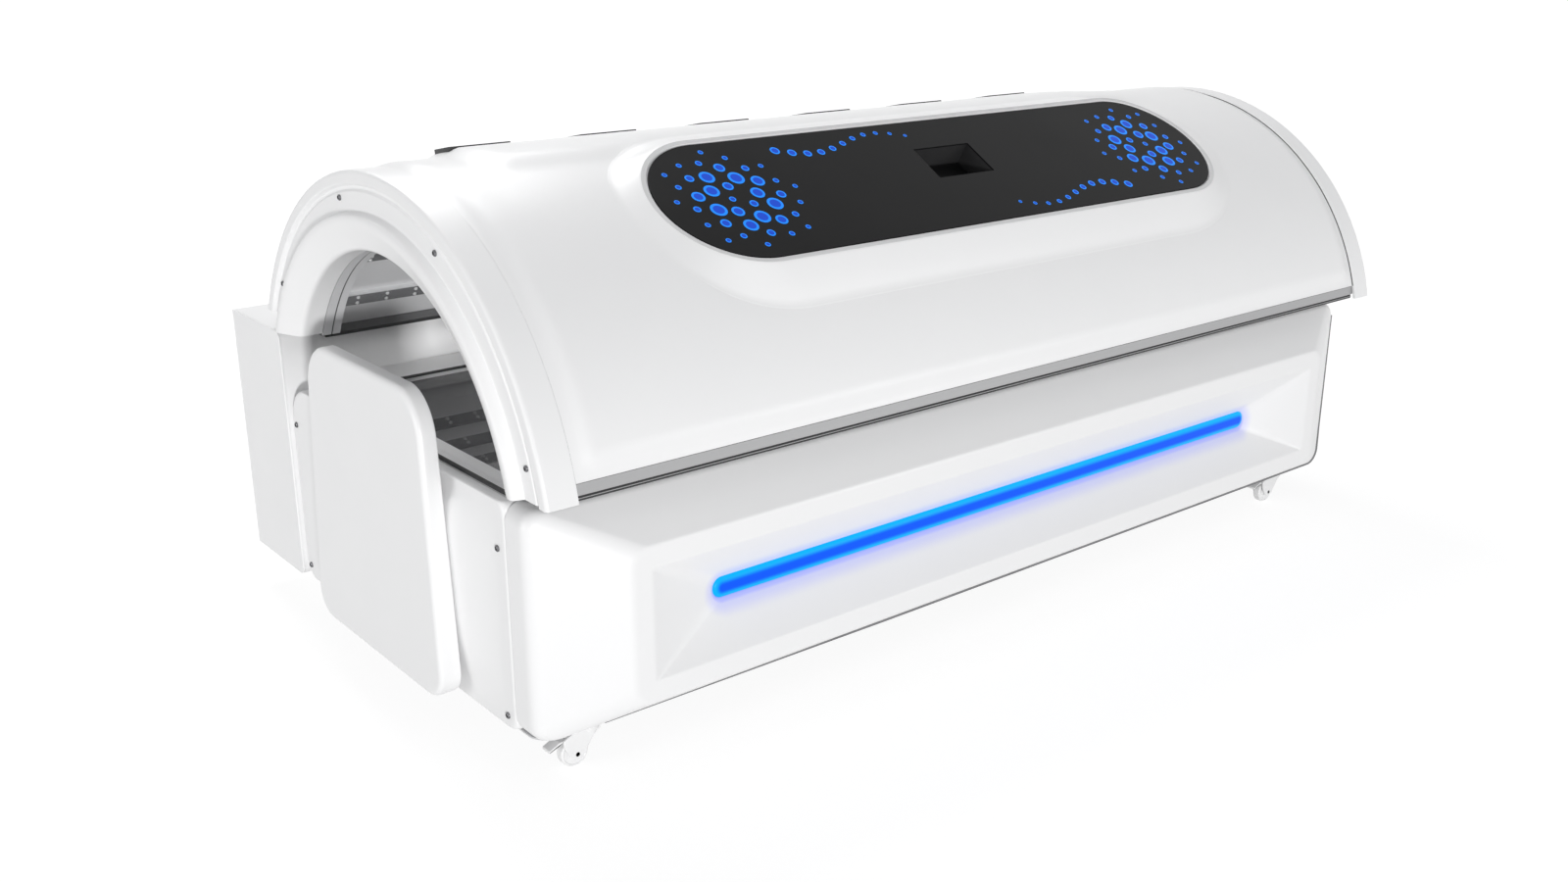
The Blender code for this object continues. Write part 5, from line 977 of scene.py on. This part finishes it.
# Studio: a pale floor that fades to white, soft lamps in front, behind, above and at the near end, two long ones
# inside the canopy, and the camera at the photograph's place.
world = bpy.data.worlds.new("pale_studio")
bpy.context.scene.world = world
world.use_nodes = True
sky = world.node_tree
surround = sky.nodes["Background"]
feed(sky, surround, {"Color": (0.97, 0.98, 1.0, 1.0), "Strength": 0.31})
seen = node(sky, "Background", {"Color": (1.0, 1.0, 1.0, 1.0), "Strength": 1.0})
rays = node(sky, "LightPath").outputs
direct = rays["Is Camera Ray"]
for kind in ("Is Glossy Ray", "Is Transmission Ray"):
    direct = node(sky, "Math", {0: direct, 1: rays[kind]}, operation="MAXIMUM").outputs[0]
choose = node(sky, "MixShader", {"Fac": direct, 1: surround.outputs[0], 2: seen.outputs[0]})
feed(sky, sky.nodes["World Output"], {"Surface": choose.outputs[0]})

floor_mesh = bpy.data.meshes.new("studio_floor")
half = 40.0
floor_mesh.from_pydata([(-half, -half, 0.0), (half, -half, 0.0), (half, half, 0.0), (-half, half, 0.0)], [],
                       [(0, 1, 2, 3)])
floor = bpy.data.objects.new("studio_floor", floor_mesh)
bpy.context.scene.collection.objects.link(floor)
pale, ground, matt = blank("pale_floor")
rays = node(ground, "LightPath").outputs
direct = node(ground, "Math", {0: rays["Is Camera Ray"], 1: rays["Is Glossy Ray"]}, operation="MAXIMUM").outputs[0]
away = node(ground, "VectorMath", {0: node(ground, "TexCoord").outputs["Object"]}, operation="LENGTH").outputs["Value"]
whiter = node(ground, "MapRange", {"Value": away, "From Min": 1.5, "From Max": 7.0, "To Min": 0.52, "To Max": 0.66},
              interpolation_type="SMOOTHSTEP").outputs["Result"]
lifted = node(ground, "Math", {0: direct, 1: whiter, 2: 0.35}, operation="MULTIPLY_ADD").outputs[0]
feed(ground, matt, {"Base Color": (0.25, 0.25, 0.25, 1.0), "Roughness": 0.9, "Specular IOR Level": 0.0,
                    "Emission Color": (1.0, 1.0, 1.0, 1.0), "Emission Strength": lifted})
floor_mesh.materials.append(pale)


def lamp(name, place, aim, size, power, across=None):
    """Soft lamp at a place, turned to its aim: square, or as long as its size and as wide as across."""
    light = bpy.data.lights.new(name, "AREA")
    light.shape = "RECTANGLE"
    light.size = size
    light.size_y = size if across is None else across
    light.energy = power
    holder = bpy.data.objects.new(name, light)
    holder.location = place
    holder.visible_camera = False
    way = Vector(aim) - Vector(place)
    holder.rotation_euler = way.to_track_quat("-Z", "Y").to_euler()
    bpy.context.scene.collection.objects.link(holder)


lamp("front_lamp", (-4.8, -9.0, 0.50), (0.0, -0.5, 0.45), 0.9, 540.0)
lamp("right_lamp", (4.0, -6.0, 0.60), (0.7, -0.5, 0.60), 1.1, 40.0)
lamp("rear_lamp", (0.3, 2.9, 4.1), (0.2, 0.0, 0.6), 2.5, 122.0)
lamp("top_lamp", (0.5, 0.9, 5.0), (0.3, 0.0, 0.6), 3.0, 22.0)
lamp("end_lamp", (-6.0, 0.4, 0.9), (-0.6, 0.0, 0.5), 2.0, 60.0)
lamp("tunnel_lamp_down", (0.0, bed_y, 0.715), (0.0, bed_y, 0.4), 1.7, 3.2, 0.25)
lamp("tunnel_lamp_up", (0.0, bed_y, 0.600), (0.0, bed_y, 0.9), 1.7, 0.9, 0.25)

view = bpy.data.cameras.new("photograph_view")
view.lens = 35.0
view.sensor_width = 36.0
camera = bpy.data.objects.new("photograph_view", view)
camera.location = (-2.0670, -2.3463, 1.2700)
heading, dip = math.radians(39.25), math.radians(18.6)
camera.rotation_euler = (math.pi / 2 - dip, 0.0, -heading)
bpy.context.scene.collection.objects.link(camera)
bpy.context.scene.camera = camera
bpy.context.scene.view_settings.view_transform = "Standard"
